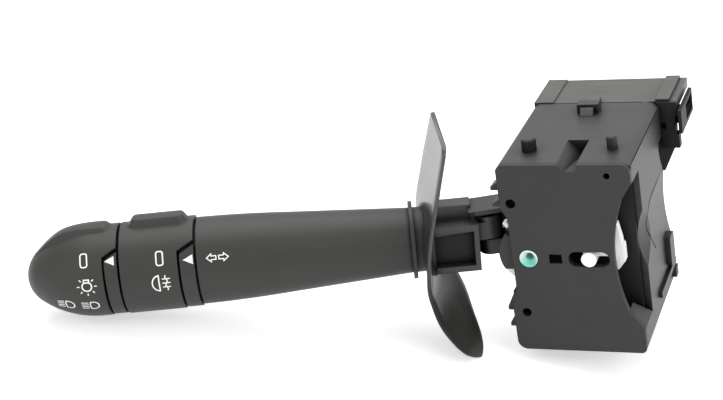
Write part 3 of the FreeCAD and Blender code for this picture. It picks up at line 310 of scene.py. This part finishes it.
def gripRadius(s):
    if s <= grip["midS"]:
        part = (s - grip["rootS"]) / (grip["midS"] - grip["rootS"])
        return grip["rootRadius"] + (grip["midRadius"] - grip["rootRadius"]) * part
    run, rise = grip["endS"] - grip["midS"], grip["endRadius"] - grip["midRadius"]
    part, late = (s - grip["midS"]) / run, (grip["lateS"] - grip["midS"]) / run
    bow = (grip["lateRadius"] - grip["midRadius"] - rise * late) / (late * (1.0 - late))
    return grip["midRadius"] + rise * part + bow * part * (1.0 - part)


# what ring and knob share: radius, slanted skirt and rounded lip
head = {"radius": 16.5, "slantTurn": 41.0, "slantTilt": 32.0, "slantGap": 1.1, "slantBefore": 30.0,
        "slantTop": 120.0, "skirtEnd": 146.0, "lip": 0.34, "lipDeep": 2.0, "lipSteps": 4}
# rows of points along the axis: wide steps, and narrow ones over each part's fine runs
rowSteps = {"wide": 1.4, "narrow": 0.4, "ahead": 0.6, "least": 0.05}
# angles round the axis, as start, step and count: all round, over the ridge and at the slant
turnRuns = ((-180.0, 3.0, 120), (60.0, 0.75, 92), (36.0, 0.6, 32))
skirtTurns = (-0.6, -0.3, 0.0, 0.04, 0.3, 0.6)  # about the skirt's end
leastRadius = 0.004  # keeps the points on the axis apart
fogRing = {"skirtS": 124.9, "middleS": 128.1, "inS": 130.8, "outS": 151.3, "ridgeFrom": 126.4,
           "ridgeTo": 148.8, "ridgeTall": 2.6, "ridgeTurn": 94.0, "ridgeHalf": 5.0,
           "ridgeCorner": 3.8, "ridgeSoft": 2.7, "fine": [(125.8, 131.0), (144.4, 149.4)]}
lightKnob = {"skirtS": 152.1, "middleS": 154.95, "inS": 157.3, "flatS": 161.0, "tipS": 186.96,
             "shrink": 0.08, "nose": 11.46, "ridgeFrom": 154.2, "ridgeTo": 186.0, "ridgeTall": 1.5,
             "ridgeTurn": 94.0, "ridgeHalf": 5.4, "ridgeCorner": 3.6, "ridgeSoft": 2.7,
             "swell": 0.3, "swellFrom": 162.0, "swellTo": 174.0, "fadeFrom": 172.0,
             "fine": [(154.0, 158.4), (176.0, 188.0)], "capFrom": 0.5,
             "capRows": (0.34, 0.2, 0.09, 0.02), "wall": 2.1, "wallAlong": 0.8, "wallDown": 0.9,
             "innerRows": (0.6, 3.0, 7.0, 12.0), "innerEnd": 5.1}


def domeRadius(s):
    # two tangent arcs, a wide one for the side and a small one for the nose
    radius, nose = head["radius"] - lightKnob["shrink"], lightKnob["nose"]
    length, run = lightKnob["tipS"] - lightKnob["flatS"], s - lightKnob["flatS"]
    if run <= 0.0:
        return radius
    side = (length ** 2 + radius ** 2 - 2 * length * nose) / (2 * (radius - nose))
    meet = length - nose + nose * math.cos(math.atan2(side - radius, length - nose))
    if run < meet:
        return radius - side + math.sqrt(side ** 2 - run ** 2)
    return math.sqrt(max(nose ** 2 - (run - length + nose) ** 2, 0.0))


def ridgeLift(part, s, turn):
    # thumb ridge with soft shoulders on a plan with round corners
    arc = math.radians(turn - part["ridgeTurn"]) * head["radius"]
    corner, middle = part["ridgeCorner"], 0.5 * (part["ridgeFrom"] + part["ridgeTo"])
    along = abs(s - middle) - (part["ridgeTo"] - middle - corner)
    across = abs(arc) - (part["ridgeHalf"] - corner)
    outside = math.hypot(max(along, 0.0), max(across, 0.0)) + min(max(along, across), 0.0) - corner
    return part["ridgeTall"] * easeStep(-outside, 0.0, part["ridgeSoft"])


def fogRadius(s, turn):
    return head["radius"] + ridgeLift(fogRing, s, turn)


def knobRadius(s, turn):
    # the ridge keeps its height over the dome, then runs out towards the nose
    swell = 1.0 + lightKnob["swell"] * easeStep(s, lightKnob["swellFrom"], lightKnob["swellTo"])
    fade = 1.0 - easeStep(s, lightKnob["fadeFrom"], lightKnob["ridgeTo"])
    return domeRadius(s) + ridgeLift(lightKnob, s, turn) * swell * fade


def skirtEdge(part, turn):
    # edge towards the handle: a skirt between its step and the slanted run beside the pointer
    if turn > head["skirtEnd"] or turn < head["slantTurn"] - head["slantBefore"]:
        return part["inS"]
    tilt = math.radians(head["slantTilt"])
    around = math.radians(min(turn, head["slantTop"]) - head["slantTurn"])
    onward = head["radius"] * math.sin(around) * math.cos(tilt)
    edge = part["middleS"] + (head["slantGap"] - onward) / math.sin(tilt)
    return min(max(edge, part["skirtS"]), part["inS"])


def turnList():
    turns = [start + step * v for start, step, count in turnRuns for v in range(count)]
    turns += [head["skirtEnd"] + v for v in skirtTurns]
    return sorted(set(round(v, 3) for v in turns))


def skinPoints(profiles, turns):
    # one closed skin from a closed profile of (s, radius) at each turn
    points, faces = [], []
    for turn, profile in zip(turns, profiles):
        for s, radius in profile:
            points.append(onStalk(s, turn, max(radius, leastRadius)))
    rows, columns = len(profiles[0]), len(turns)
    for column in range(columns):
        here, after = column * rows, (column + 1) % columns * rows
        for row in range(rows):
            above = (row + 1) % rows
            faces.append((here + row, after + row, after + above, here + above))
    return points, faces


def lipRows(edgeS, radius, direction):
    # rounded lip from the wall up to the skin
    rows = [(edgeS, radius - head["lipDeep"])]
    for step in range(head["lipSteps"] + 1):
        corner = math.radians(90.0 * step / head["lipSteps"])
        rows.append((edgeS + direction * head["lip"] * (1.0 - math.cos(corner)),
                     radius - head["lip"] * (1.0 - math.sin(corner))))
    return rows


def skinSteps(start, end, fine):
    # narrow steps where a ridge starts and ends, wide ones between
    steps = [start]
    while steps[-1] < end - rowSteps["least"]:
        here, width = steps[-1], rowSteps["wide"]
        for fineStart, fineEnd in fine:
            if fineStart - rowSteps["ahead"] <= here <= fineEnd:
                width = rowSteps["narrow"]
        steps.append(min(here + width, end))
    return steps


def skirtRows(part, radiusAt, turn, steps):
    # the skirt's lip, then the steps after the first, stretched so that they start at the lip
    edge = skirtEdge(part, turn)
    profile = lipRows(edge, radiusAt(edge, turn), 1.0)
    start, first, last = edge + head["lip"], steps[0], steps[-1]
    for step in steps[1:]:
        s = start + (step - first) * (last - start) / (last - first)
        profile.append((s, radiusAt(s, turn)))
    return profile


def addFogRing():
    turns, profiles = turnList(), []
    steps = skinSteps(fogRing["skirtS"] + head["lip"], fogRing["outS"] - head["lip"],
                      fogRing["fine"])
    for turn in turns:
        profile = skirtRows(fogRing, fogRadius, turn, steps)[:-1]
        outer = lipRows(fogRing["outS"], fogRadius(fogRing["outS"], turn), -1.0)
        profiles.append(profile + outer[::-1])
    points, faces = skinPoints(profiles, turns)
    addMesh("fogRingSkin", points, faces, "fog_ring", "gripPlastic", ["fog_ring"])


def addLightKnob():
    look, turns, profiles = lightKnob, turnList(), []
    steps = skinSteps(look["skirtS"] + head["lip"], look["tipS"] - look["capFrom"], look["fine"])
    innerTip = look["tipS"] - look["wall"]
    inner = [(innerTip, 0.0)]
    for s in [innerTip - back for back in look["innerRows"]] + [look["inS"] + look["innerEnd"]]:
        inner.append((s, domeRadius(s + look["wall"] * look["wallAlong"])
                      - look["wall"] * look["wallDown"]))
    for turn in turns:
        profile = skirtRows(look, knobRadius, turn, steps)
        for s in [look["tipS"] - back for back in look["capRows"]]:
            profile.append((s, knobRadius(s, turn)))
        profiles.append(profile + [(look["tipS"], 0.0)] + inner)
    points, faces = skinPoints(profiles, turns)
    addMesh("lightKnobSkin", points, faces, "light_knob", "gripPlastic",
            ["light_knob"])


addFogRing()
addLightKnob()
print("turning ring and knob made")

# dust shield stations: height, near s, far s, near depth, far depth in the lever's frame
shield = {"thick": 1.6, "steps": 6, "columns": 12, "rim": 4,
          "tip": (45.6, 33.0, 33.1, -10.5, -12.2),
          "stations": [(43.6, 31.1, 33.9, 18.2, -12.5), (40.4, 31.9, 34.9, 20.2, -12.6),
                       (27.0, 35.7, 39.2, 19.5, -13.0), (10.0, 40.8, 43.5, 22.0, -13.0),
                       (-4.0, 43.6, 40.0, 25.8, -12.0), (-12.0, 43.2, 35.0, 26.5, -9.0),
                       (-20.0, 41.3, 31.5, 27.2, -4.0), (-27.0, 37.7, 29.8, 27.8, 3.0),
                       (-32.0, 34.6, 28.4, 26.5, 11.0), (-35.5, 32.2, 28.3, 23.2, 15.2),
                       (-37.8, 30.2, 29.2, 19.8, 17.9)]}


def betweenStations(stations, place):
    # smooth run through the stations, place counts them
    here = min(int(place), len(stations) - 2)
    part = place - here
    before, after = stations[max(here - 1, 0)], stations[min(here + 2, len(stations) - 1)]
    values = []
    for a, b, c, d in zip(before, stations[here], stations[here + 1], after):
        values.append(0.5 * (2 * b + (c - a) * part + (2 * a - 5 * b + 4 * c - d) * part ** 2
                             + (3 * b - a - 3 * c + d) * part ** 3))
    return values


def shieldLoop():
    # flat section with round rims, as part of the width, reach beyond it and part of the thickness
    columns, half = shield["columns"], 0.5
    inner = [(column / columns, 0.0, 0.0) for column in range(columns + 1)]
    outer = [(column / columns, 0.0, 1.0) for column in range(columns, -1, -1)]
    farRim, nearRim = [], []
    for step in range(1, shield["rim"]):
        corner = math.pi * step / shield["rim"]
        farRim.append((1.0, math.sin(corner) * half, half - math.cos(corner) * half))
        nearRim.append((0.0, -math.sin(corner) * half, half + math.cos(corner) * half))
    return inner + farRim + outer + nearRim


def addShield():
    points, faces = [], []
    loop, thick = shieldLoop(), shield["thick"]
    sections = [shield["tip"]]
    for row in range((len(shield["stations"]) - 1) * shield["steps"] + 1):
        sections.append(betweenStations(shield["stations"], row / shield["steps"]))
    for height, nearS, farS, nearY, farY in sections:
        near, far = Vector((nearS, nearY, height)), Vector((farS, farY, height))
        across = (far - near).normalized()
        out = Vector((-across.y, across.x, 0.0))
        near, far = near + across * 0.5 * thick, far - across * 0.5 * thick
        for part, over, deep in loop:
            spot = near.lerp(far, part) + across * over * thick + out * deep * thick
            points.append(leverFrame @ (spot * mm))
    rows, count = len(sections), len(loop)
    for row in range(rows - 1):
        low, high = row * count, (row + 1) * count
        for here in range(count):
            there = (here + 1) % count
            faces.append((low + here, low + there, high + there, high + here))
    faces.append(tuple(range(count - 1, -1, -1)))
    faces.append(tuple((rows - 1) * count + here for here in range(count)))
    addMesh("dustShieldBlade", points, faces, "stalk", "shieldPlastic",
            ["dust_shield"])


addShield()
print("dust shield made")

# printed marks: strokes in mm on a flat sheet, x to the handle and y up, wrapped round the stalk
paint = {"stroke": 0.5, "lift": 0.035, "sink": 0.12, "step": 0.45, "miter": 0.5}


def ribbon(points, width, closed):
    # left and right edges of a stroke along the points
    dense, edges = [], []
    count = len(points)
    for here in range(count if closed else count - 1):
        start, end = Vector(points[here]), Vector(points[(here + 1) % count])
        pieces = max(1, int((end - start).length / paint["step"]))
        dense += [start.lerp(end, step / pieces) for step in range(pieces)]
    if not closed:
        dense.append(Vector(points[-1]))
    total = len(dense)
    for here, spot in enumerate(dense):
        legOut = dense[(here + 1) % total] - spot if closed or here < total - 1 else None
        legIn = spot - dense[here - 1] if closed or here > 0 else legOut
        legIn, legOut = legIn.normalized(), (legOut or legIn).normalized()
        side = Vector((-(legIn + legOut).y, (legIn + legOut).x)).normalized()
        miter = max(side.dot(Vector((-legIn.y, legIn.x))), paint["miter"])
        edges.append((spot + side * width * 0.5 / miter, spot - side * width * 0.5 / miter))
    return edges


def addRun(points, faces, rings, closed):
    # skin over rings of points, with flat ends where it isn't closed
    base, total, count = len(points), len(rings), len(rings[0])
    for ring in rings:
        points += ring
    for here in range(total if closed else total - 1):
        low, high = base + here * count, base + (here + 1) % total * count
        for side in range(count):
            other = (side + 1) % count
            faces.append((low + side, low + other, high + other, high + side))
    if not closed:
        faces.append(tuple(base + side for side in range(count - 1, -1, -1)))
        faces.append(tuple(base + (total - 1) * count + side for side in range(count)))


def addMark(name, look):
    points, faces = [], []

    def wrap(flat, height):
        s = look["s"] - flat.x
        turn = look["turn"] + math.degrees(flat.y / look["on"](s, look["turn"]))
        return onStalk(s, turn, look["on"](s, turn) + height)

    for stroke in look["strokes"]:
        closed = stroke.get("closed", False)
        rings = []
        for left, right in ribbon(stroke["points"], stroke.get("width", paint["stroke"]), closed):
            rings.append([wrap(left, paint["lift"]), wrap(right, paint["lift"]),
                          wrap(right, -paint["sink"]), wrap(left, -paint["sink"])])
        addRun(points, faces, rings, closed)
    addMesh(name, points, faces, look["body"], "markPaint")


def arcSpot(x, y, radius, turn):
    around = math.radians(turn)
    return x + radius * math.cos(around), y + radius * math.sin(around)


def arcPath(x, y, radius, start, end, count):
    return [arcSpot(x, y, radius, start + (end - start) * step / count)
            for step in range(count + 1)]


zeroShape = {"wide": 2.35, "tall": 4.9, "corner": 0.75, "steps": 3}


def zeroMark():
    # upright box with round corners
    corner, path = zeroShape["corner"], []
    wide, tall = zeroShape["wide"] / 2 - corner, zeroShape["tall"] / 2 - corner
    for wayX, wayY, start in ((1, 1, 0.0), (-1, 1, 90.0), (-1, -1, 180.0), (1, -1, 270.0)):
        path += arcPath(wayX * wide, wayY * tall, corner, start, start + 90.0, zeroShape["steps"])
    return [{"points": path, "closed": True}]


lampShape = {"bulb": 1.7, "low": -0.35, "from": -238.0, "to": 58.0, "steps": 20, "capHalf": 0.9,
             "capLow": 1.09, "capHigh": 2.1, "rays": (0, 45, 135, 180, 225, 270, 315),
             "rayFrom": 2.6, "rayTo": 3.55, "rayWidth": 0.42}


def lampMark():
    # bulb with its cap above and rays all round
    look = lampShape
    bulb = arcPath(0.0, look["low"], look["bulb"], look["from"], look["to"], look["steps"])
    cap = [(-look["capHalf"], look["capLow"]), (-look["capHalf"], look["capHigh"]),
           (look["capHalf"], look["capHigh"]), (look["capHalf"], look["capLow"])]
    strokes = [{"points": bulb, "closed": True}, {"points": cap}]
    for ray in look["rays"]:
        ends = [arcSpot(0.0, look["low"], reach, ray) for reach in (look["rayFrom"], look["rayTo"])]
        strokes.append({"points": ends, "width": look["rayWidth"]})
    return strokes


beamShape = {"flat": 0.1, "round": 1.1, "radius": 1.75, "spread": 78.0, "steps": 12,
             "hollow": 4.4, "hollowRadius": 4.63, "hollowSpread": 22.0, "hollowSteps": 6,
             "width": 0.42, "levels": (-1.4, -0.47, 0.47, 1.4), "rayFrom": -0.75, "rayTo": -3.3,
             "rayWidth": 0.36}


def beamMark(droop):
    # headlamp with rays on its left, level or drooping
    look = beamShape
    lens = [(look["flat"], look["radius"])]
    lens += arcPath(look["round"], 0.0, look["radius"], look["spread"], -look["spread"],
                    look["steps"])
    lens.append((look["flat"], -look["radius"]))
    lens += arcPath(look["hollow"], 0.0, look["hollowRadius"], 180.0 + look["hollowSpread"],
                    180.0 - look["hollowSpread"], look["hollowSteps"])[1:-1]
    strokes = [{"points": lens, "closed": True, "width": look["width"]}]
    for level in look["levels"]:
        strokes.append({"points": [(look["rayTo"], level - droop), (look["rayFrom"], level)],
                        "width": look["rayWidth"]})
    return strokes


fogShape = {"centre": -0.62, "radius": 2.95, "from": 94.0, "to": 266.0, "steps": 14,
            "flat": -0.9, "squash": 0.88, "width": 0.48, "levels": (-1.5, 0.05, 1.6),
            "rayFrom": 0.3, "rayTo": 3.15, "thin": 0.42, "waveX": 1.75, "waveWide": 0.34}


def fogMark():
    # rear fog lamp: lens with its round side on the left and three rays crossed by a wave
    look, steps, lens = fogShape, fogShape["steps"], []
    for x, y in arcPath(look["centre"], 0.0, look["radius"], look["from"], look["to"], steps):
        lens.append((look["flat"] + look["squash"] * (x - look["flat"]), y))
    strokes = [{"points": lens, "closed": True, "width": look["width"]}]
    for level in look["levels"]:
        strokes.append({"points": [(look["rayFrom"], level), (look["rayTo"], level)],
                        "width": look["thin"]})
    wave = []
    for step in range(steps + 1):
        level = look["radius"] * (1.0 - 2.0 * step / steps)
        wave.append((look["waveX"] + look["waveWide"] * math.sin(level * 2.0), level))
    strokes.append({"points": wave, "width": look["thin"]})
    return strokes


arrowShape = {"apart": 2.1, "tip": 1.75, "root": -1.6, "neck": 0.1, "wide": 1.4, "thin": 0.64,
              "width": 0.4}


def arrowMarks():
    # two hollow arrows that point away from each other
    wide, thin, strokes = arrowShape["wide"], arrowShape["thin"], []
    for way in (-1, 1):
        tip, root, neck = ((arrowShape["apart"] + arrowShape[key]) * way
                           for key in ("tip", "root", "neck"))
        path = [(tip, 0.0), (neck, wide), (neck, thin), (root, thin), (root, -thin),
                (neck, -thin), (neck, -wide)]
        strokes.append({"points": path, "closed": True, "width": arrowShape["width"]})
    return strokes


printed = {
    "knobZeroMark": {"strokes": zeroMark(), "s": 163.66, "turn": 38.7, "on": knobRadius,
                     "body": "light_knob"},
    "knobLampMark": {"strokes": lampMark(), "s": 163.36, "turn": 7.05, "on": knobRadius,
                     "body": "light_knob"},
    "knobDippedMark": {"strokes": beamMark(0.6), "s": 172.1, "turn": -23.2, "on": knobRadius,
                       "body": "light_knob"},
    "knobMainMark": {"strokes": beamMark(0.0), "s": 163.3, "turn": -23.2, "on": knobRadius,
                     "body": "light_knob"},
    "fogZeroMark": {"strokes": zeroMark(), "s": 136.94, "turn": 32.35, "on": fogRadius,
                    "body": "fog_ring"},
    "fogLampMark": {"strokes": fogMark(), "s": 137.1, "turn": 1.2, "on": fogRadius,
                    "body": "fog_ring"},
    "gripArrowMarks": {"strokes": arrowMarks(), "s": 116.7, "turn": 27.1,
                       "on": lambda s, turn: gripRadius(s), "body": "stalk"},
}
pointers = {
    "outerPointerMark": {"apexS": 156.35, "turn": 35.1, "baseS": 153.0, "half": 1.7},
    "innerPointerMark": {"apexS": 128.84, "turn": 27.6, "baseS": 125.3, "half": 1.75},
}
pointerShape = {"radius": 16.2, "rows": 6, "across": (-1.0, -0.5, 0.0, 0.5, 1.0), "blunt": 0.01}


def addPointer(name, look):
    # filled triangle whose apex points outwards
    points, faces, radius = [], [], pointerShape["radius"]
    rows, columns = pointerShape["rows"], len(pointerShape["across"])
    for height in (paint["lift"], paint["lift"] - paint["sink"]):
        for row in range(rows + 1):
            part = row / rows
            s = look["apexS"] + (look["baseS"] - look["apexS"]) * part
            for across in pointerShape["across"]:
                arc = across * look["half"] * max(part, pointerShape["blunt"])
                turn = look["turn"] + math.degrees(arc / radius)
                points.append(onStalk(s, turn, radius + height))
    for row in range(rows):
        for here in range(row * columns, (row + 1) * columns - 1):
            faces.append((here, here + 1, here + columns + 1, here + columns))
    base = len(points) // 2
    faces += [tuple(base + v for v in reversed(face)) for face in faces]
    # once round the rim: down one side, along the base, up the other side and over the apex
    rim = [row * columns for row in range(rows + 1)]
    rim += [rows * columns + column for column in range(1, columns)]
    rim += [(row + 1) * columns - 1 for row in range(rows - 1, -1, -1)]
    rim += range(columns - 2, 0, -1)
    for here, there in zip(rim, rim[1:] + rim[:1]):
        faces.append((here, there, base + there, base + here))
    addMesh(name, points, faces, "stalk", "markPaint")


for markName, markLook in printed.items():
    addMark(markName, markLook)
for pointerName, pointerLook in pointers.items():
    addPointer(pointerName, pointerLook)
print("printed marks made")


def addPrism(name, lower, upper, body, skin):
    # closed solid between two outlines, points in mm
    count = len(lower)
    faces = [tuple(range(count - 1, -1, -1)), tuple(range(count, 2 * count))]
    for here in range(count):
        there = (here + 1) % count
        faces.append((here, there, count + there, count + here))
    points = [Vector(point) * mm for point in lower + upper]
    addMesh(name, points, faces, body, skin, smoothAngle=20.0)


# crush ribs round the locating peg, each one in four steps
pegRibs = {"count": 14, "inner": 2.36, "outer": 2.58, "low": 0.0, "high": 4.1}


def addPegRibs():
    around, steps = [], pegRibs["count"] * 4
    for step in range(steps):
        radius = pegRibs["outer"] if step % 4 in (1, 2) else pegRibs["inner"]
        around.append(arcSpot(0.0, 0.0, radius, 360.0 * step / steps))
    addPrism("pegCrushRibs", [(x, y, pegRibs["low"]) for x, y in around],
             [(x, y, pegRibs["high"]) for x, y in around], "housing", "paintedShadePlastic")


# painted shade: a dark wedge on the wall below the bracket stands in for the shade there, points as
# (y, z)
bracketShadeWedge = {"inner": 35.5, "outer": 37.1,
                "points": [(64.6, -13.0), (34.4, -13.0), (33.5, -15.2), (34.3, -18.0),
                           (35.6, -21.2), (37.9, -24.2), (42.0, -26.9), (64.6, -26.9)]}


def addBracketShadeWedge():
    addPrism("bracketShadeWedge", [(bracketShadeWedge["outer"], y, z) for y, z in bracketShadeWedge["points"]],
             [(bracketShadeWedge["inner"], y, z) for y, z in bracketShadeWedge["points"]],
             "housing", "seamAndShadeBlack")


# dark cover in front of the white rotor: a sector with a tongue, past which the finger looks out
rotorCover = {"centre": (-1.1, -35.2), "front": -8.0, "back": -7.82, "inner": 6.0, "outer": 9.4,
              "from": 90.0, "to": 150.0, "fromSteps": 8, "toSteps": 4, "innerSteps": 12,
              "tongueTurn": 128.8, "tongueSpread": 8.0, "tongueHalf": 1.3, "tongueEnd": 12.2}


def addRotorCover():
    look = rotorCover
    x, z = look["centre"]
    turn, spread = look["tongueTurn"], look["tongueSpread"]
    outline = arcPath(x, z, look["outer"], look["from"], turn - spread, look["fromSteps"])
    tipX, tipZ = arcSpot(x, z, look["tongueEnd"], turn)
    for side in (-90.0, 90.0):
        outline.append(arcSpot(tipX, tipZ, look["tongueHalf"], turn + side))
    outline += arcPath(x, z, look["outer"], turn + spread, look["to"], look["toSteps"])
    outline += arcPath(x, z, look["inner"], look["to"], look["from"], look["innerSteps"])
    addPrism("rotorCover", [(x, look["back"], z) for x, z in outline],
             [(x, look["front"], z) for x, z in outline], "lever_carrier", "leverPlastic")


# painted shade: dark webs between the fork's base and knuckle, a dark sheet at the recess's near
# wall and dark backs in the holes and the loop's window stand in for the shade there; the slab over
# the ridge is the lever's own plastic. Those of the lever and stalk lie in the lever's frame
boxes = {
    "forkShadeWeb": {"low": (13.2, -4.3, 0.3), "high": (14.9, 4.3, 11.3),
                "body": "lever_carrier", "skin": "paintedShadePlastic"},
    "forkShadeWebFar": {"low": (14.2, -6.1, 0.3), "high": (17.0, -5.05, 11.25),
                   "body": "lever_carrier", "skin": "paintedShadePlastic"},
    "slabTongue": {"low": (24.8, -6.2, 11.25), "high": (25.7, -1.2, 12.85),
                   "body": "lever_carrier", "skin": "leverPlastic"},
    "slabCover": {"low": (24.7, -6.2, 12.68), "high": (40.6, -0.6, 12.9),
                  "body": "lever_carrier", "skin": "leverPlastic"},
    "slabLip": {"low": (24.6, -6.2, 12.66), "high": (26.9, 6.2, 12.92),
                "body": "lever_carrier", "skin": "leverPlastic"},
    "recessShadeNear": {"low": (26.35, 4.7, -8.55), "high": (40.4, 4.95, 4.65),
                       "body": "stalk", "skin": "paintedShadePlastic"},
    "bracketHoleShade": {"low": (36.2, 41.0, -10.0), "high": (38.8, 41.4, -7.6),
                        "body": "housing", "skin": "seamAndShadeBlack"},
    "keyHoleShade": {"low": (6.1, -11.4, -37.0), "high": (10.7, -11.1, -33.4),
                    "body": "housing", "skin": "seamAndShadeBlack"},
    "plateHoleShade": {"low": (-6.9, -11.5, -16.1), "high": (-3.3, -11.3, -12.5),
                      "body": "housing", "skin": "seamAndShadeBlack"},
    "loopShadeLow": {"low": (44.1, 43.0, -9.6), "high": (44.7, 59.4, -6.6),
                    "body": "housing", "skin": "seamAndShadeBlack"},
    "loopShadeHigh": {"low": (44.1, 43.0, -5.4), "high": (44.7, 59.4, -3.4),
                     "body": "housing", "skin": "seamAndShadeBlack"},
}


def addBox(name, look):
    place = Matrix.Identity(4) if look["body"] == "housing" else leverFrame
    xs, ys, zs = zip(look["low"], look["high"])
    points = [place @ (Vector((x, y, z)) * mm) for x in xs for y in ys for z in zs]
    faces = [(0, 1, 3, 2), (4, 6, 7, 5), (0, 4, 5, 1), (2, 3, 7, 6), (0, 2, 6, 4), (1, 5, 7, 3)]
    addMesh(name, points, faces, look["body"], look["skin"])


addPegRibs()
for boxName, boxLook in boxes.items():
    addBox(boxName, boxLook)
addBracketShadeWedge()
addRotorCover()

# seams between the mouldings: dark hairlines laid on the casing from above or from the column side,
# points in mm as (x, y) for the way z and as (y, z) for the way x
seams = {
    "rearSeam": {"way": "z", "wide": 0.42,
                 "points": [(-1.6, 41.8), (9.0, 41.8), (20.0, 41.8), (31.0, 41.8)]},
    "slopeSeam": {"way": "z", "wide": 0.3,
                  "points": [(36.8, -9.8), (36.8, 5.0), (36.8, 22.0), (36.8, 40.0)]},
    "scoopSeam": {"way": "x", "wide": 0.46,
                  "points": [(36.4, -23.5), (28.5, -24.0), (20.0, -24.1), (13.7, -24.6),
                             (8.8, -26.3), (6.6, -29.0), (6.5, -32.0), (8.0, -36.0),
                             (11.0, -40.4), (14.9, -44.7)]},
}
seamShape = {"over": 0.03, "under": 0.2, "steps": 5, "above": 40.0, "beside": 80.0}


def smoothPath(points, steps):
    path = []
    for here in range(len(points) - 1):
        for step in range(steps):
            path.append(betweenStations(points, here + step / steps))
    return path + [points[-1]]


def addSeam(name, look, surface):
    lift = Vector((0.0, 0.0, 1.0)) if look["way"] == "z" else Vector((1.0, 0.0, 0.0))
    spots = []
    for first, second in smoothPath(look["points"], seamShape["steps"]):
        outside = (first, second, seamShape["above"])
        if look["way"] == "x":
            outside = (seamShape["beside"], first, second)
        spot = surface.ray_cast(Vector(outside) * mm, -lift)[0]
        if spot is not None:
            spots.append(spot)
    if len(spots) < 2:
        print("no surface under", name)
        return
    points, faces, rings = [], [], []
    over, under = lift * seamShape["over"] * mm, lift * -seamShape["under"] * mm
    for here, spot in enumerate(spots):
        ahead = (spots[min(here + 1, len(spots) - 1)] - spots[max(here - 1, 0)]).normalized()
        across = ahead.cross(lift).normalized() * look["wide"] * 0.5 * mm
        rings.append([spot + across + over, spot - across + over, spot - across + under,
                      spot + across + under])
    addRun(points, faces, rings, False)
    addMesh(name, points, faces, "housing", "seamAndShadeBlack")


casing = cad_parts["main_casing"].data
casingSurface = BVHTree.FromPolygons([v.co for v in casing.vertices],
                                     [tuple(face.vertices) for face in casing.polygons])
for seamName, seamLook in seams.items():
    addSeam(seamName, seamLook, casingSurface)
print("ribs, webs, hole backs and seams made")

# floor under the plate's low edge, as (x, z), with the slope at which the object lies
floor = {"lowEdge": (-21.8, -73.1), "slope": 0.2186, "size": 6.0, "tone": 0.9, "rough": 0.9,
         "gloss": 0.1, "lift": 0.45}


def seenBy(nodes, links, rays):
    # 1 for the named kinds of ray and 0 for the light itself
    path = nodes.new("ShaderNodeLightPath")
    seen = path.outputs[rays[0]]
    for ray in rays[1:]:
        either = addMath(nodes, "MAXIMUM")
        links.new(seen, either.inputs[0])
        links.new(path.outputs[ray], either.inputs[1])
        seen = either.outputs["Value"]
    return seen


def floorSkin():
    made = bpy.data.materials.new("paleFloor")
    made.use_nodes = True
    nodes, links = made.node_tree.nodes, made.node_tree.links
    shader = nodes["Principled BSDF"]
    shader.inputs["Base Color"].default_value = (floor["tone"], floor["tone"], floor["tone"], 1.0)
    shader.inputs["Roughness"].default_value = floor["rough"]
    shader.inputs["Specular IOR Level"].default_value = floor["gloss"]
    level = addMath(nodes, "MULTIPLY")
    level.inputs[1].default_value = floor["lift"]
    links.new(seenBy(nodes, links, ("Is Camera Ray", "Is Glossy Ray")), level.inputs[0])
    glow = nodes.new("ShaderNodeEmission")
    links.new(level.outputs["Value"], glow.inputs["Strength"])
    both = nodes.new("ShaderNodeAddShader")
    links.new(shader.outputs["BSDF"], both.inputs[0])
    links.new(glow.outputs["Emission"], both.inputs[1])
    links.new(both.outputs["Shader"], nodes["Material Output"].inputs["Surface"])
    return made


def addFloor():
    half = floor["size"] / 2
    edgeX, edgeZ = floor["lowEdge"][0] * mm, floor["lowEdge"][1] * mm
    corners = [(edgeX + x, y, edgeZ - floor["slope"] * x)
               for x, y in ((-half, -half), (half, -half), (half, half), (-half, half))]
    data = bpy.data.meshes.new("paleFloor")
    data.from_pydata(corners, [], [(0, 1, 2, 3)])
    data.materials.append(floorSkin())
    addObject("paleFloor", data)


# white surround: dimmer as a lamp than where it is seen or mirrored
surround = {"lamp": 0.5, "seen": 1.0}


def addWorld():
    world = bpy.data.worlds.new("studioWorld")
    bpy.context.scene.world = world
    world.use_nodes = True
    nodes, links = world.node_tree.nodes, world.node_tree.links
    back = nodes["Background"]
    back.inputs["Color"].default_value = (1.0, 1.0, 1.0, 1.0)
    strength = addNode(nodes, "ShaderNodeMapRange",
                       {"To Min": surround["lamp"], "To Max": surround["seen"]})
    rays = ("Is Camera Ray", "Is Transmission Ray", "Is Glossy Ray")
    links.new(seenBy(nodes, links, rays), strength.inputs["Value"])
    links.new(strength.outputs["Result"], back.inputs["Strength"])


# square lamps, places and sizes in metres
lamps = {
    "topPanel": {"place": (-0.05, 0.25, 0.75), "aim": (-0.03, 0.0, -0.03), "size": 0.9,
                 "watts": 7.0},
    "sidePanel": {"place": (0.72, -0.3, 0.3), "aim": (0.0, 0.0, -0.03), "size": 0.7,
                  "watts": 4.0},
    "frontPanel": {"place": (-0.35, -0.8, 0.45), "aim": (-0.05, 0.0, -0.03), "size": 0.8,
                   "watts": 2.2},
}


def addLamp(name, look):
    data = bpy.data.lights.new(name, "AREA")
    data.shape = "SQUARE"
    data.size = look["size"]
    data.energy = look["watts"]
    place, aim = Vector(look["place"]), Vector(look["aim"])
    turn = (aim - place).to_track_quat("-Z", "Y").to_matrix().to_4x4()
    addObject(name, data).matrix_world = Matrix.Translation(place) @ turn


addFloor()
addWorld()
for lampName, lampLook in lamps.items():
    addLamp(lampName, lampLook)
bpy.context.scene.view_settings.view_transform = "Standard"
print("stage and lamps made")
